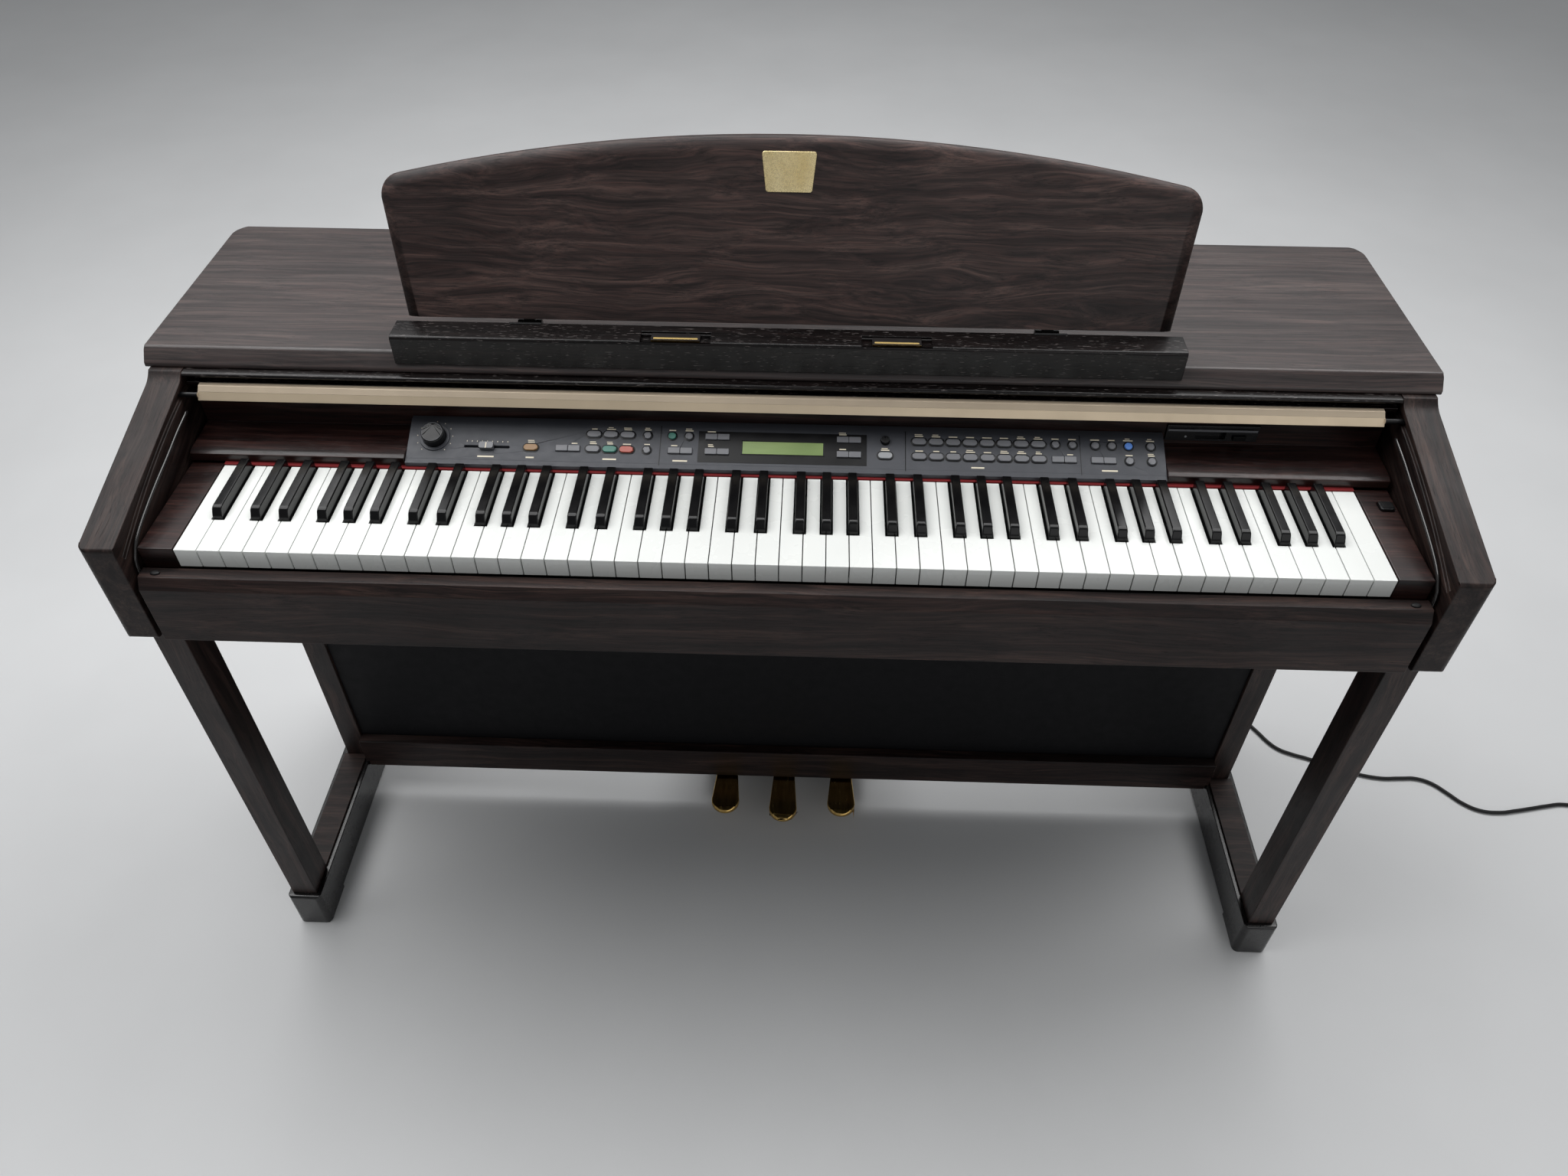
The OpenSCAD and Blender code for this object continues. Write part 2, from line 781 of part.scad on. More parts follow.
// Two ears and a pin for each hinge, standing on the ledge's base
module desk_hinges()
  color("#8d7a45")
    both()
      translate([hinge_x, hinge_y, 0]) {
        for (side = [-1, 1]) {
          translate([side * 10, 0, hinge_z])
            rotate([0, 90, 0])
              cylinder(h = 6, r = knuckle_r, center = true);
          translate([side * 10 - 3, -knuckle_r, hinge_z - knuckle_r - 3])
            cube([6, 2 * knuckle_r, knuckle_r + 3]);
        }
        translate([0, 0, hinge_z])
          rotate([0, 90, 0])
            cylinder(h = 24, r = 2, center = true);
      }

module page_clip()
  color("#c09a52")
    translate([clip_x, clip_axis_y, clip_axis_z]) {
      rotate([0, 90, 0])
        cylinder(h = clip_w, d = clip_t, center = true);
      translate([-clip_w / 2, -clip_d, -clip_t / 2])
        cube([clip_w, clip_d, clip_t]);
      rotate([0, 90, 0])
        cylinder(h = 2 * clip_pin_half - 1, r = clip_pin_r, center = true);
    }

module page_clip_left() mirror([1, 0, 0]) page_clip();
module page_clip_right() page_clip();

// ---- Keys ----

// Letters run c = 0 to b = 6; key 0 is the lowest a
function letter(i) = (i + 5) % 7;
function has_sharp(i) = i < white_n - 1 && letter(i) != 2 && letter(i) != 6;
sharp_shift = [-3, 3, 0, -4, 0, 4, 0];
function sharp_x(i) = -keys_half + (i + 1) * white_pitch + sharp_shift[letter(i)];

module white_key(i) {
  x0 = -keys_half + i * white_pitch + key_gap / 2;
  difference() {
    block([x0, key_front, key_h - white_t], [x0 + white_pitch - key_gap, key_end, key_h]);
    block([x0 - past, key_front + white_len, key_h - 4],
      [x0 + white_pitch + past, key_end + past, key_h + past]);
    for (j = [i - 1, i])
      if (j >= 0 && has_sharp(j))
        block([sharp_x(j) - black_w / 2 - key_gap, key_front + head_len, key_h - white_t - past],
          [sharp_x(j) + black_w / 2 + key_gap, key_end + past, key_h + past]);
  }
}

module white_keys(which)
  color("#eef0ee")
    for (i = [0:white_n - 1])
      if (letter(i) == which)
        white_key(i);

module black_keys(which)
  color("#101012")
    for (i = [0:white_n - 1])
      if (letter(i) == which && has_sharp(i))
        translate([sharp_x(i), 0, 0])
          along_x(black_w)
            polygon([[key_front + head_len + 1, key_h - white_t], [key_front + head_len + 1, key_h],
              [key_front + head_len + 6, key_h + black_rise - 1.5], [key_front + head_len + 9, key_h + black_rise],
              [key_front + white_len - 2, key_h + black_rise], [key_front + white_len - 2, key_h - 4],
              [key_end, key_h - 4], [key_end, key_h - white_t]]);

module keys_c() white_keys(0);
module keys_d() white_keys(1);
module keys_e() white_keys(2);
module keys_f() white_keys(3);
module keys_g() white_keys(4);
module keys_a() white_keys(5);
module keys_b() white_keys(6);
module keys_c_sharp() black_keys(0);
module keys_d_sharp() black_keys(1);
module keys_f_sharp() black_keys(3);
module keys_g_sharp() black_keys(4);
module keys_a_sharp() black_keys(5);

module keyboard_frame() {
  base = key_h - white_t - 55;
  color("#55585c")
    union() {
      block([-keys_half, key_front + 16, base], [keys_half, key_end + 6, base + 6]);
      block([-keys_half, key_front + 16, base], [keys_half, key_front + 30, key_h - white_t - 13]);
      block([-keys_half, key_pivot_y - 10, base], [keys_half, key_end + 6, key_h - white_t - 3]);
      translate([0, key_pivot_y, key_h - white_t - 3.3])
        rotate([0, 90, 0])
          cylinder(h = 2 * keys_half, r = 3, center = true);
      for (x = [-1:0.5:1])
        block([x * (keys_half - 15) - 15, key_front + 60, bed_top], [x * (keys_half - 15) + 15, key_end - 20, base]);
    }
}

module felt_strip()
  color("#b3262c")
    block([-keys_half, key_front + white_len + 0.5, key_h - 1], [keys_half, name_front + 8, felt_top]);

// ---- Power cord ----

module power_inlet() {
  cord_connector();
  color("#131315")
    difference() {
      translate([inlet_x, inlet_y, case_bottom - 2])
        linear_extrude(bed_t + 8)
          soft_rect(30, 22, 2);
      translate([inlet_x, inlet_y, case_bottom - 2 - past])
        linear_extrude(12)
          soft_rect(24 + 2 * seam, 16 + 2 * seam, 2);
    }
}

module cord_connector()
  color("#131315")
    translate([inlet_x, inlet_y, case_bottom - connector_l]) {
      linear_extrude(connector_l)
        soft_rect(24, 16, 2);
      translate([0, 0, -relief_l])
        cylinder(h = relief_l, r = 5);
    }

// Round tube through the points; each ring's first side is carried along the path
tube_n = 8;
function unit(v) = v / norm(v);
function way(p, i) = unit(p[min(i + 1, len(p) - 1)] - p[max(i - 1, 0)]);
function ring_side(p, i) = i == 0 ? unit(cross([0, 1, 0], way(p, 0)))
  : let (s = ring_side(p, i - 1), d = way(p, i)) unit(s - (s * d) * d);
function ring(p, i, r) = let (s = ring_side(p, i), u = cross(way(p, i), s))
  [for (k = [0:tube_n - 1]) p[i] + r * (cos(k * 360 / tube_n) * s + sin(k * 360 / tube_n) * u)];

module tube(p, d) {
  n = len(p);
  polyhedron(
    points = [for (i = [0:n - 1]) each ring(p, i, d / 2)],
    faces = concat(
      [[for (k = [0:tube_n - 1]) k]],
      [for (i = [0:n - 2], k = [0:tube_n - 1])
        [i * tube_n + k, (i + 1) * tube_n + k, (i + 1) * tube_n + (k + 1) % tube_n]],
      [for (i = [0:n - 2], k = [0:tube_n - 1])
        [i * tube_n + k, (i + 1) * tube_n + (k + 1) % tube_n, i * tube_n + (k + 1) % tube_n]],
      [[for (k = [tube_n - 1:-1:0]) (n - 1) * tube_n + k]]));
}

module power_cord()
  color("#131315")
    tube(cord_points, cord_d);

module cord_coil()
  color("#131315")
    translate([coil_x, coil_y, 0])
      rotate_extrude()
        translate([coil_r - cord_d, 0.3])
          square([2 * cord_d, 2 * cord_d]);

module cord_plug()
  color("#131315")
    translate([coil_x + coil_r + 12, coil_y - 12, 0.3]) {
      linear_extrude(18)
        square([22, 34]);
      for (x = [6, 16])
        translate([x - 1, 33, 6])
          cube([2, 17, 7]);
    }

foot_left();
foot_right();
front_leg_left();
front_leg_right();
side_board_left();
side_board_right();
back_panel();
lower_rail();
pedal_box();
pedal_left();
pedal_middle();
pedal_right();
key_bed();
key_slip();
side_arm_left();
side_arm_right();
top_board();
case_back();
cheek_block_left();
cheek_block_right();
name_board();
control_panel();
cover_trim();
media_drive();
eject_key();
volume_knob();
contrast_knob();
balance_slider();
power_switch();
song_buttons();
tempo_buttons();
menu_buttons();
voice_buttons();
effect_buttons();
display_window();
key_cover();
cover_strip();
music_ledge();
music_desk();
desk_hinges();
page_clip_left();
page_clip_right();
keyboard_frame();
felt_strip();
power_inlet();
power_cord();
cord_coil();
cord_plug();
keys_c();
keys_d();
keys_e();
keys_f();
keys_g();
keys_a();
keys_b();
keys_c_sharp();
keys_d_sharp();
keys_f_sharp();
keys_g_sharp();
keys_a_sharp();
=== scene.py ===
"""Looks for the console digital piano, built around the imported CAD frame."""
import json
import math
import random

import bmesh
import bpy
from mathutils import Matrix, Vector


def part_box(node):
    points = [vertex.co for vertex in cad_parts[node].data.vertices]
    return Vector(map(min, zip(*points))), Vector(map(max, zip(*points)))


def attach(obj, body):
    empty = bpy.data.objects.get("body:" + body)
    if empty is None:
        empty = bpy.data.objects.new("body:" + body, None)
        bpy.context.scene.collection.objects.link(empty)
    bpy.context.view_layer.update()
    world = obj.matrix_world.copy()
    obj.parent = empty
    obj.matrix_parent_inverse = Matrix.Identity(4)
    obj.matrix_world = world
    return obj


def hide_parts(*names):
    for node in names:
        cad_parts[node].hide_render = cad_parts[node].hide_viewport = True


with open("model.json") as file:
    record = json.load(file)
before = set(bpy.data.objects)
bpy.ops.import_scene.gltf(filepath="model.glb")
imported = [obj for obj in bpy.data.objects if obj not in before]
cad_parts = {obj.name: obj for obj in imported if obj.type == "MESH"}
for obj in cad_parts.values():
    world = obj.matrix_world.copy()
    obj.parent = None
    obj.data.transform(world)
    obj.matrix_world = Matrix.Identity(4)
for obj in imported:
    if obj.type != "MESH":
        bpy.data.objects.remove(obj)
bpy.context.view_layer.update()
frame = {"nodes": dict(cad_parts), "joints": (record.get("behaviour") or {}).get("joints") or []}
scene = bpy.context.scene
nodes = frame["nodes"]
rng = random.Random(7)
MM = 0.001


# ---- Camera ----

EYE = (0.0310, -1.0753, 1.5063)
YAW, PITCH, ROLL = -1.73, -44.17, 0.27
LENS = 26.50
SENSOR = 36


def make_camera():
    """The view from in front of the keyboard and above it."""
    yaw, pitch, roll = math.radians(YAW), math.radians(PITCH), math.radians(ROLL)
    forward = Vector((math.sin(yaw) * math.cos(pitch), math.cos(yaw) * math.cos(pitch), math.sin(pitch)))
    right = Vector((math.cos(yaw), -math.sin(yaw), 0))
    up = right.cross(forward)
    side = right * math.cos(roll) + up * math.sin(roll)
    top = up * math.cos(roll) - right * math.sin(roll)
    camera = bpy.data.objects.new("camera", bpy.data.cameras.new("camera"))
    scene.collection.objects.link(camera)
    camera.matrix_world = Matrix.Translation(EYE) @ Matrix((side, top, -forward)).transposed().to_4x4()
    camera.data.sensor_width = SENSOR
    camera.data.lens = LENS
    camera.data.clip_start = 0.05
    camera.data.clip_end = 60
    scene.camera = camera


make_camera()


# ---- Materials ----

class Look:
    """A material made of a Principled shader and the nodes that feed it."""

    def __init__(self, name, color, rough, metal=0.0, coat=0.0, coat_rough=0.08, ior_level=0.5):
        self.mat = bpy.data.materials.new(name)
        self.mat.use_nodes = True
        self.tree = self.mat.node_tree
        self.shader = self.tree.nodes["Principled BSDF"]
        self.put(self.shader, "Base Color", (*color, 1))
        self.put(self.shader, "Roughness", rough)
        self.put(self.shader, "Metallic", metal)
        self.put(self.shader, "Coat Weight", coat)
        self.put(self.shader, "Coat Roughness", coat_rough)
        self.put(self.shader, "Specular IOR Level", ior_level)

    def put(self, node, key, value):
        socket = node.inputs[key]
        if isinstance(value, bpy.types.NodeSocket):
            self.tree.links.new(value, socket)
        else:
            socket.default_value = value

    def node(self, kind, settings=None, values=None):
        made = self.tree.nodes.new("ShaderNode" + kind)
        for key, value in (settings or {}).items():
            setattr(made, key, value)
        for key, value in (values or {}).items():
            self.put(made, key, value)
        return made

    def shade(self, key, value):
        self.put(self.shader, key, value)

    def coords(self, scale=(1, 1, 1), turn=(0, 0, 0), move=(0, 0, 0)):
        source = self.node("TexCoord").outputs["Object"]
        return self.node("Mapping", values={"Vector": source, "Scale": scale, "Rotation": turn,
                                            "Location": move}).outputs[0]

    def noise(self, vector, scale, detail=3.0, rough=0.5, distortion=0.0, color=False):
        made = self.node("TexNoise", values={"Vector": vector, "Scale": scale, "Detail": detail,
                                             "Roughness": rough, "Distortion": distortion})
        return made.outputs[1 if color else 0]

    def ramp(self, value, *stops):
        made = self.node("ValToRGB")
        elements = made.color_ramp.elements
        for element, (place, color) in zip((elements[0], elements[1]), (stops[0], stops[-1])):
            element.position, element.color = place, (*color, 1)
        for place, color in stops[1:-1]:
            elements.new(place).color = (*color, 1)
        self.put(made, 0, value)
        return made.outputs[0]

    def math(self, how, a, b=0.0, c=None):
        made = self.node("Math", {"operation": how})
        self.put(made, 0, a)
        self.put(made, 1, b)
        if c is not None:
            self.put(made, 2, c)
        return made.outputs[0]

    def span(self, value, low, high, to_low, to_high):
        made = self.node("MapRange", {"clamp": True}, {"Value": value, "From Min": low, "From Max": high,
                                                       "To Min": to_low, "To Max": to_high})
        return made.outputs[0]

    def mix(self, share, a, b, how="MIX"):
        made = self.node("Mix", {"data_type": "RGBA", "blend_type": how})
        for place, value in ((0, share), (6, a), (7, b)):
            if isinstance(value, tuple) and len(value) == 3:
                value = (*value, 1)
            self.put(made, place, value)
        return made.outputs[2]

    def bump(self, height, distance, strength=1.0):
        made = self.node("Bump", values={"Height": height, "Distance": distance, "Strength": strength})
        return made.outputs[0]

    def rough_between(self, low, high, scale=40.0, detail=3.0):
        value = self.noise(self.coords(), scale, detail, 0.6)
        self.shade("Roughness", self.span(value, 0.3, 0.7, low, high))

    def soft_bump(self, scale, distance, detail=2.0):
        self.shade("Normal", self.bump(self.noise(self.coords(), scale, detail), distance))


TICK = (0.17, 0.15, 0.145)


def wood(name, deep, mid, pale, grain="x", rough=(0.34, 0.46), coat=0.12, turn=(0, 0, 0),
         move=(0, 0, 0), figure=1.0, pores=1.0, ticks=0.0, shine=0.5):
    """Rosewood veneer: a slow figure, fine growth lines and small pores that run along the grain."""
    look = Look(name, mid, rough[0], coat=coat, coat_rough=0.16, ior_level=shine)
    along = {"x": 0, "y": 1, "z": 2}[grain]

    def stretch(run, across):
        return tuple(run if i == along else across for i in range(3))

    placed = look.coords((1, 1, 1), turn, move)

    def scaled(source, run, across):
        return look.node("Mapping", values={"Vector": source, "Scale": stretch(run, across)}).outputs[0]

    wave = look.noise(scaled(placed, 3.2, 13.0), 1.0, 2.5, 0.55, color=True)
    centred = look.node("VectorMath", {"operation": "SUBTRACT"}, {0: wave, 1: (0.5, 0.5, 0.5)}).outputs[0]
    drift = look.node("VectorMath", {"operation": "MULTIPLY"},
                      {0: centred, 1: stretch(0.0, 0.045 * figure)}).outputs[0]
    base = look.node("VectorMath", {"operation": "ADD"}, {0: placed, 1: drift}).outputs[0]

    def bands(run, across, detail, share, distortion=0.0):
        return look.noise(scaled(base, run, across), 1.0, detail, share, distortion)

    broad = bands(2.6, 85.0, 4.0, 0.62, 0.2)
    lines = bands(6.0, 420.0, 5.0, 0.68)
    fine = bands(34.0, 1500.0, 2.0, 0.5)
    tone = look.ramp(broad, (0.36, deep), (0.50, mid), (0.64, pale))
    streak = look.ramp(lines, (0.36, (0.34, 0.32, 0.32)), (0.49, (0.92, 0.92, 0.92)),
                       (0.62, (1.5, 1.34, 1.28)))
    tone = look.mix(0.9, tone, streak, "MULTIPLY")
    pore = look.span(fine, 0.60, 0.70, 0.0, 1.0)
    tone = look.mix(look.math("MULTIPLY", pore, 0.6 * pores), tone, tuple(0.35 * c for c in deep))
    if ticks:
        tick = look.span(look.noise(scaled(placed, 110.0, 900.0), 1.0, 1.0, 0.5), 0.67, 0.71, 0.0, ticks)
        tone = look.mix(tick, tone, TICK)
    look.shade("Base Color", tone)
    wear = look.noise(look.coords(move=move), 9.0, 4.0, 0.6)
    look.shade("Roughness", look.math("ADD", look.span(wear, 0.35, 0.68, rough[0], rough[1]),
                                      look.math("MULTIPLY", pore, 0.15)))
    ridge = look.math("SUBTRACT", look.math("MULTIPLY", lines, 0.6), pore)
    look.shade("Normal", look.bump(ridge, 0.00008 * pores, 0.5))
    return look


def plain(name, color, rough, scale=60.0, bump=0.00004, spread=0.06, **more):
    """A moulded or painted finish: a little unevenness in tone, gloss and surface."""
    look = Look(name, color, rough, **more)
    cloud = look.noise(look.coords(), scale / 6, 3.0)
    low, high = (tuple(c * k for c in color) for k in (0.92, 1.08))
    look.shade("Base Color", look.ramp(cloud, (0.3, low), (0.7, high)))
    look.rough_between(rough - spread, rough + spread, scale)
    look.soft_bump(scale * 12, bump)
    return look


ARM_SLOPE = -14.4
DEEP, MID, PALE = (0.0064, 0.0031, 0.0028), (0.0170, 0.0094, 0.0083), (0.036, 0.0215, 0.0180)
looks = {
    "board": wood("board", (0.017, 0.0106, 0.0102), (0.034, 0.0240, 0.0228), (0.055, 0.0405, 0.0375), "x",
                  (0.38, 0.50), coat=0.2, move=(0.3, 0.1, 0), figure=0.6),
    "slip": wood("slip", DEEP, MID, PALE, "x", (0.44, 0.56), coat=0.03, shine=0.25),
    "desk": wood("desk", (0.0140, 0.0072, 0.0066), (0.0370, 0.0220, 0.0198), (0.072, 0.0460, 0.0405), "x",
                 (0.44, 0.56), coat=0.04, figure=1.5, move=(0.9, 0, 0.4), shine=0.35),
    "arm": wood("arm", DEEP, (0.0165, 0.0098, 0.0086), (0.033, 0.0210, 0.0178), "y", (0.42, 0.54), coat=0.03,
                turn=(math.radians(ARM_SLOPE), 0, 0), shine=0.25),
    "upright": wood("upright", DEEP, MID, PALE, "z", (0.42, 0.54), coat=0.05, shine=0.35),
    "inner": wood("inner", (0.0065, 0.0022, 0.0019), (0.0165, 0.0064, 0.0056), (0.032, 0.0145, 0.0120), "x",
                  (0.28, 0.38), coat=0.12, move=(0, 0.2, 0), shine=0.35),
    "gloss": wood("gloss", (0.0020, 0.0012, 0.0012), (0.0038, 0.0025, 0.0025), (0.0070, 0.0048, 0.0046), "x",
                  (0.24, 0.34), coat=0.12, pores=1.0, ticks=0.55, shine=0.25),
    "foot": plain("foot", (0.005, 0.0042, 0.0042), 0.26, coat=0.2),
    "black": plain("black", (0.0045, 0.0045, 0.0055), 0.6, ior_level=0.2),
    "frame": plain("frame", (0.02, 0.02, 0.022), 0.6),
    "drive": plain("drive", (0.006, 0.006, 0.007), 0.3, coat=0.2),
    "steel": plain("steel", (0.42, 0.43, 0.44), 0.32, metal=1.0),
    "track": plain("track", (0.016, 0.015, 0.015), 0.22, coat=0.6),
    "panel": plain("panel", (0.047, 0.050, 0.060), 0.5, scale=160.0, bump=0.00008),
    "inset": plain("inset", (0.0030, 0.0030, 0.0036), 0.34, ior_level=0.3),
    "cap": plain("cap", (0.150, 0.153, 0.166), 0.38),
    "cap_pale": plain("cap_pale", (0.30, 0.31, 0.32), 0.4),
    "cap_amber": plain("cap_amber", (0.30, 0.17, 0.07), 0.4),
    "cap_green": plain("cap_green", (0.035, 0.17, 0.13), 0.34),
    "cap_red": plain("cap_red", (0.40, 0.085, 0.06), 0.34),
    "cap_blue": plain("cap_blue", (0.10, 0.26, 0.72), 0.35),
    "rim": plain("rim", (0.0045, 0.0045, 0.005), 0.36, ior_level=0.3),
    "knob": plain("knob", (0.005, 0.005, 0.0055), 0.34, ior_level=0.35),
    "mark": plain("mark", (0.74, 0.67, 0.52), 0.5),
    "clip_dark": plain("clip_dark", (0.012, 0.010, 0.010), 0.34),
    # The cover strip's champagne metal in two copies: a lighter one with painted light for its front facets,
    # and a darker one with painted shade for its other facets.
    "champagne_painted_light": plain("champagne_painted_light", (0.60, 0.49, 0.35), 0.36, metal=0.4),
    "champagne_painted_shade": plain("champagne_painted_shade", (0.45, 0.37, 0.275), 0.40, metal=0.3),
    "gilt": plain("gilt", (0.66, 0.47, 0.17), 0.34, metal=0.35),
    "rubber": plain("rubber", (0.0065, 0.0065, 0.007), 0.5, ior_level=0.35),
    "felt": plain("felt", (0.20, 0.010, 0.012), 0.92, scale=300.0, bump=0.0003),
    "ivory": plain("ivory", (0.69, 0.705, 0.685), 0.26, scale=20.0, bump=0.00001, coat=0.35),
    "ebony": plain("ebony", (0.0026, 0.0026, 0.003), 0.18, scale=60.0, bump=0.00001, spread=0.03,
                   ior_level=0.28),
}


def brass_look():
    """Polished brass with a little rubbing along the pedals."""
    look = Look("brass", (0.62, 0.43, 0.16), 0.18, metal=1.0)
    rub = look.noise(look.coords((30, 4, 30)), 8.0, 4.0, 0.65)
    look.shade("Base Color", look.ramp(rub, (0.3, (0.42, 0.26, 0.08)), (0.6, (0.66, 0.45, 0.16)),
                                       (0.8, (0.72, 0.53, 0.22))))
    look.shade("Roughness", look.span(rub, 0.3, 0.75, 0.1, 0.3))
    look.shade("Normal", look.bump(look.noise(look.coords((200, 20, 200)), 6.0), 0.00002))
    return look


def badge_look():
    """Pale brass plate with dark specks."""
    look = Look("badge", (0.72, 0.56, 0.28), 0.30, metal=0.7)
    speck = look.noise(look.coords(), 420.0, 2.0, 0.8)
    fade = look.noise(look.coords(), 30.0, 2.0)
    tone = look.ramp(fade, (0.3, (0.78, 0.61, 0.29)), (0.7, (0.94, 0.80, 0.47)))
    look.shade("Base Color", look.mix(look.span(speck, 0.70, 0.76, 0.0, 0.3), tone, (0.20, 0.13, 0.06)))
    look.shade("Roughness", look.span(speck, 0.4, 0.7, 0.2, 0.45))
    return look


def display_look():
    """A green display with a faint glow."""
    look = Look("display", (0.10, 0.16, 0.03), 0.25, coat=0.4)
    glow = look.noise(look.coords((14, 60, 60)), 1.0, 2.0)
    tone = look.ramp(glow, (0.3, (0.15, 0.22, 0.07)), (0.7, (0.21, 0.29, 0.10)))
    look.shade("Base Color", tone)
    look.shade("Emission Color", tone)
    look.shade("Emission Strength", 0.16)
    return look


looks["brass"] = brass_look()
looks["badge"] = badge_look()
looks["display"] = display_look()


# ---- Mesh helpers ----

def link(name, mesh, look, body, bevel=0.0, segments=3, angle=35, smooth=True):
    """An object from a mesh, painted and riding on a body."""
    obj = bpy.data.objects.new(name, mesh)
    scene.collection.objects.link(obj)
    for one in look if isinstance(look, list) else [look]:
        obj.data.materials.append(looks[one].mat)
    round_edges(obj, bevel, segments, angle, smooth)
    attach(obj, body)
    return obj


def round_edges(obj, bevel, segments=3, angle=35, smooth=True):
    """Soft edges of a given width, and shading that follows the large faces."""
    for polygon in obj.data.polygons:
        polygon.use_smooth = smooth
    if bevel:
        made = obj.modifiers.new("round", "BEVEL")
        made.width = bevel
        made.segments = segments
        made.limit_method = "ANGLE"
        made.angle_limit = math.radians(angle)
        made.use_clamp_overlap = False
        made.harden_normals = False
    if smooth:
        shade = obj.modifiers.new("shade", "WEIGHTED_NORMAL")
        shade.weight = 60
        shade.keep_sharp = True


def to_mesh(name, bm):
    """A mesh made from an edit mesh, with its faces turned outward."""
    bmesh.ops.recalc_face_normals(bm, faces=bm.faces)
    mesh = bpy.data.meshes.new(name)
    bm.to_mesh(mesh)
    bm.free()
    return mesh


def carry(name, look, bevel=0.0006, segments=2, angle=35):
    """A CAD node shown as it is, with its split corners joined, its edges rounded and a finish on it."""
    obj = nodes[name]
    if "custom_normal" in obj.data.attributes:
        obj.data.attributes.remove(obj.data.attributes["custom_normal"])
    obj.data.materials.clear()
    for one in look if isinstance(look, list) else [look]:
        obj.data.materials.append(looks[one].mat)
    for polygon in obj.data.polygons:
        polygon.material_index = 0
    weld = obj.modifiers.new("weld", "WELD")
    weld.merge_threshold = 0.00001
    round_edges(obj, bevel, segments, angle)
    return obj


def islands(name):
    """The separate solids of a CAD node, each as a list of its corner points."""
    mesh = nodes[name].data
    keys = [tuple(round(c, 6) for c in v.co) for v in mesh.vertices]
    parent = {k: k for k in keys}

    def root(k):
        while parent[k] != k:
            parent[k] = parent[parent[k]]
            k = parent[k]
        return k

    for polygon in mesh.polygons:
        first = root(keys[polygon.vertices[0]])
        for i in polygon.vertices[1:]:
            parent[root(keys[i])] = first
            first = root(first)
    groups = {}
    for k in parent:
        groups.setdefault(root(k), []).append(Vector(k))
    return sorted(groups.values(), key=lambda g: (round(sum(p.x for p in g) / len(g), 4), g[0].z))


def loops_facing(name, direction):
    """The outlines of the outermost flat face that looks along a direction."""
    mesh = nodes[name].data
    keys = [tuple(round(c, 6) for c in v.co) for v in mesh.vertices]
    flat = [p for p in mesh.polygons if p.normal.dot(direction) > 0.999]
    outer = max(p.center.dot(direction) for p in flat)
    edges = {}
    for p in flat:
        if p.center.dot(direction) > outer - 0.0005:
            corners = [keys[i] for i in p.vertices]
            for a, b in zip(corners, corners[1:] + corners[:1]):
                edges[(a, b)] = edges.get((a, b), 0) + 1
    following = {a: b for a, b in edges if (b, a) not in edges}
    loops = []
    while following:
        start, here = next(iter(following.items()))
        loop = [Vector(start)]
        while here != start and here in following:
            loop.append(Vector(here))
            here = following.pop(here)
        following.pop(start, None)
        loops.append(loop)
    return sorted(loops, key=len, reverse=True)


def circle(radius, count):
    """Points round a circle, as pairs."""
    turns = [2 * math.pi * k / count for k in range(count)]
    return [(radius * math.cos(a), radius * math.sin(a)) for a in turns]


def bridge(bm, rings, ends="caps"):
    """Faces between rings of points of the same length; the ends get caps, stay open or are joined."""
    made = [[bm.verts.new(p) for p in ring] for ring in rings]
    n = len(made[0])
    following = made[1:] + made[:1] if ends == "joined" else made[1:]
    for low, high in zip(made, following):
        for k in range(n):
            bm.faces.new((low[k], low[(k + 1) % n], high[(k + 1) % n], high[k]))
    if ends == "caps":
        bm.faces.new(list(reversed(made[0])))
        bm.faces.new(made[-1])


def box_into(bm, low, high, place=Matrix.Identity(4)):
    """A box between two corners, moved to a place."""
    corners = [place @ Vector((x, y, z)) for z in (low[2], high[2]) for x, y in
               ((low[0], low[1]), (high[0], low[1]), (high[0], high[1]), (low[0], high[1]))]
    v = [bm.verts.new(c) for c in corners]
    for face in ((3, 2, 1, 0), (4, 5, 6, 7), (0, 1, 5, 4), (1, 2, 6, 5), (2, 3, 7, 6), (3, 0, 4, 7)):
        bm.faces.new([v[i] for i in face])


def joint(name):
    """One joint of the frame, found by name."""
    return next(j for j in frame["joints"] if j["name"] == name)


# ---- Power cord ----

CORD_D = 0.0055
# Offsets from the inlet in mm; the last number is a share of the inlet's height, then a height in mm.
HANG = [(0, 0, 1), (0, 0, 0.963), (0, 2, 0.856), (1, 5, 0.749), (2, 8, 0.642), (3, 10, 0.535), (3, 12, 0.428),
        (4, 13, 0.321), (5, 14, 0.214), (6, 15, 0.134), (9, 16, 0.071), (16, 17, 0.03)]
FLOOR = [(30, 19, 6), (50, 20, 3.5), (75, 19, 3), (100, 13, 3), (122, 1, 3), (142, -16, 3), (158, -33, 3),
         (172, -52, 3), (183, -70, 3), (193, -87, 3), (206, -101, 3), (224, -110, 3), (249, -119, 3),
         (280, -133, 3), (315, -146, 3), (355, -154, 3), (385, -153, 3), (411, -153, 3), (432, -162, 3),
         (449, -179, 3), (466, -198, 3), (488, -211, 3), (518, -214, 3), (543, -210, 3), (568, -205, 3),
         (596, -199, 3), (624, -195, 3), (644, -200, 3), (653, -210, 3)]


def route_points():
    """The route from the inlet to the coil, in metres, and a last point that leads into the ring."""
    low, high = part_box("power_inlet")
    start = Vector(((low.x + high.x) / 2, (low.y + high.y) / 2, low.z))
    points = [(start.x + x * MM, start.y + y * MM, start.z * share) for x, y, share in HANG]
    points += [(start.x + x * MM, start.y + y * MM, z * MM) for x, y, z in FLOOR]
    points.append((points[-1][0] + 0.0095, points[-1][1] - 0.0105, 0.003))
    return points


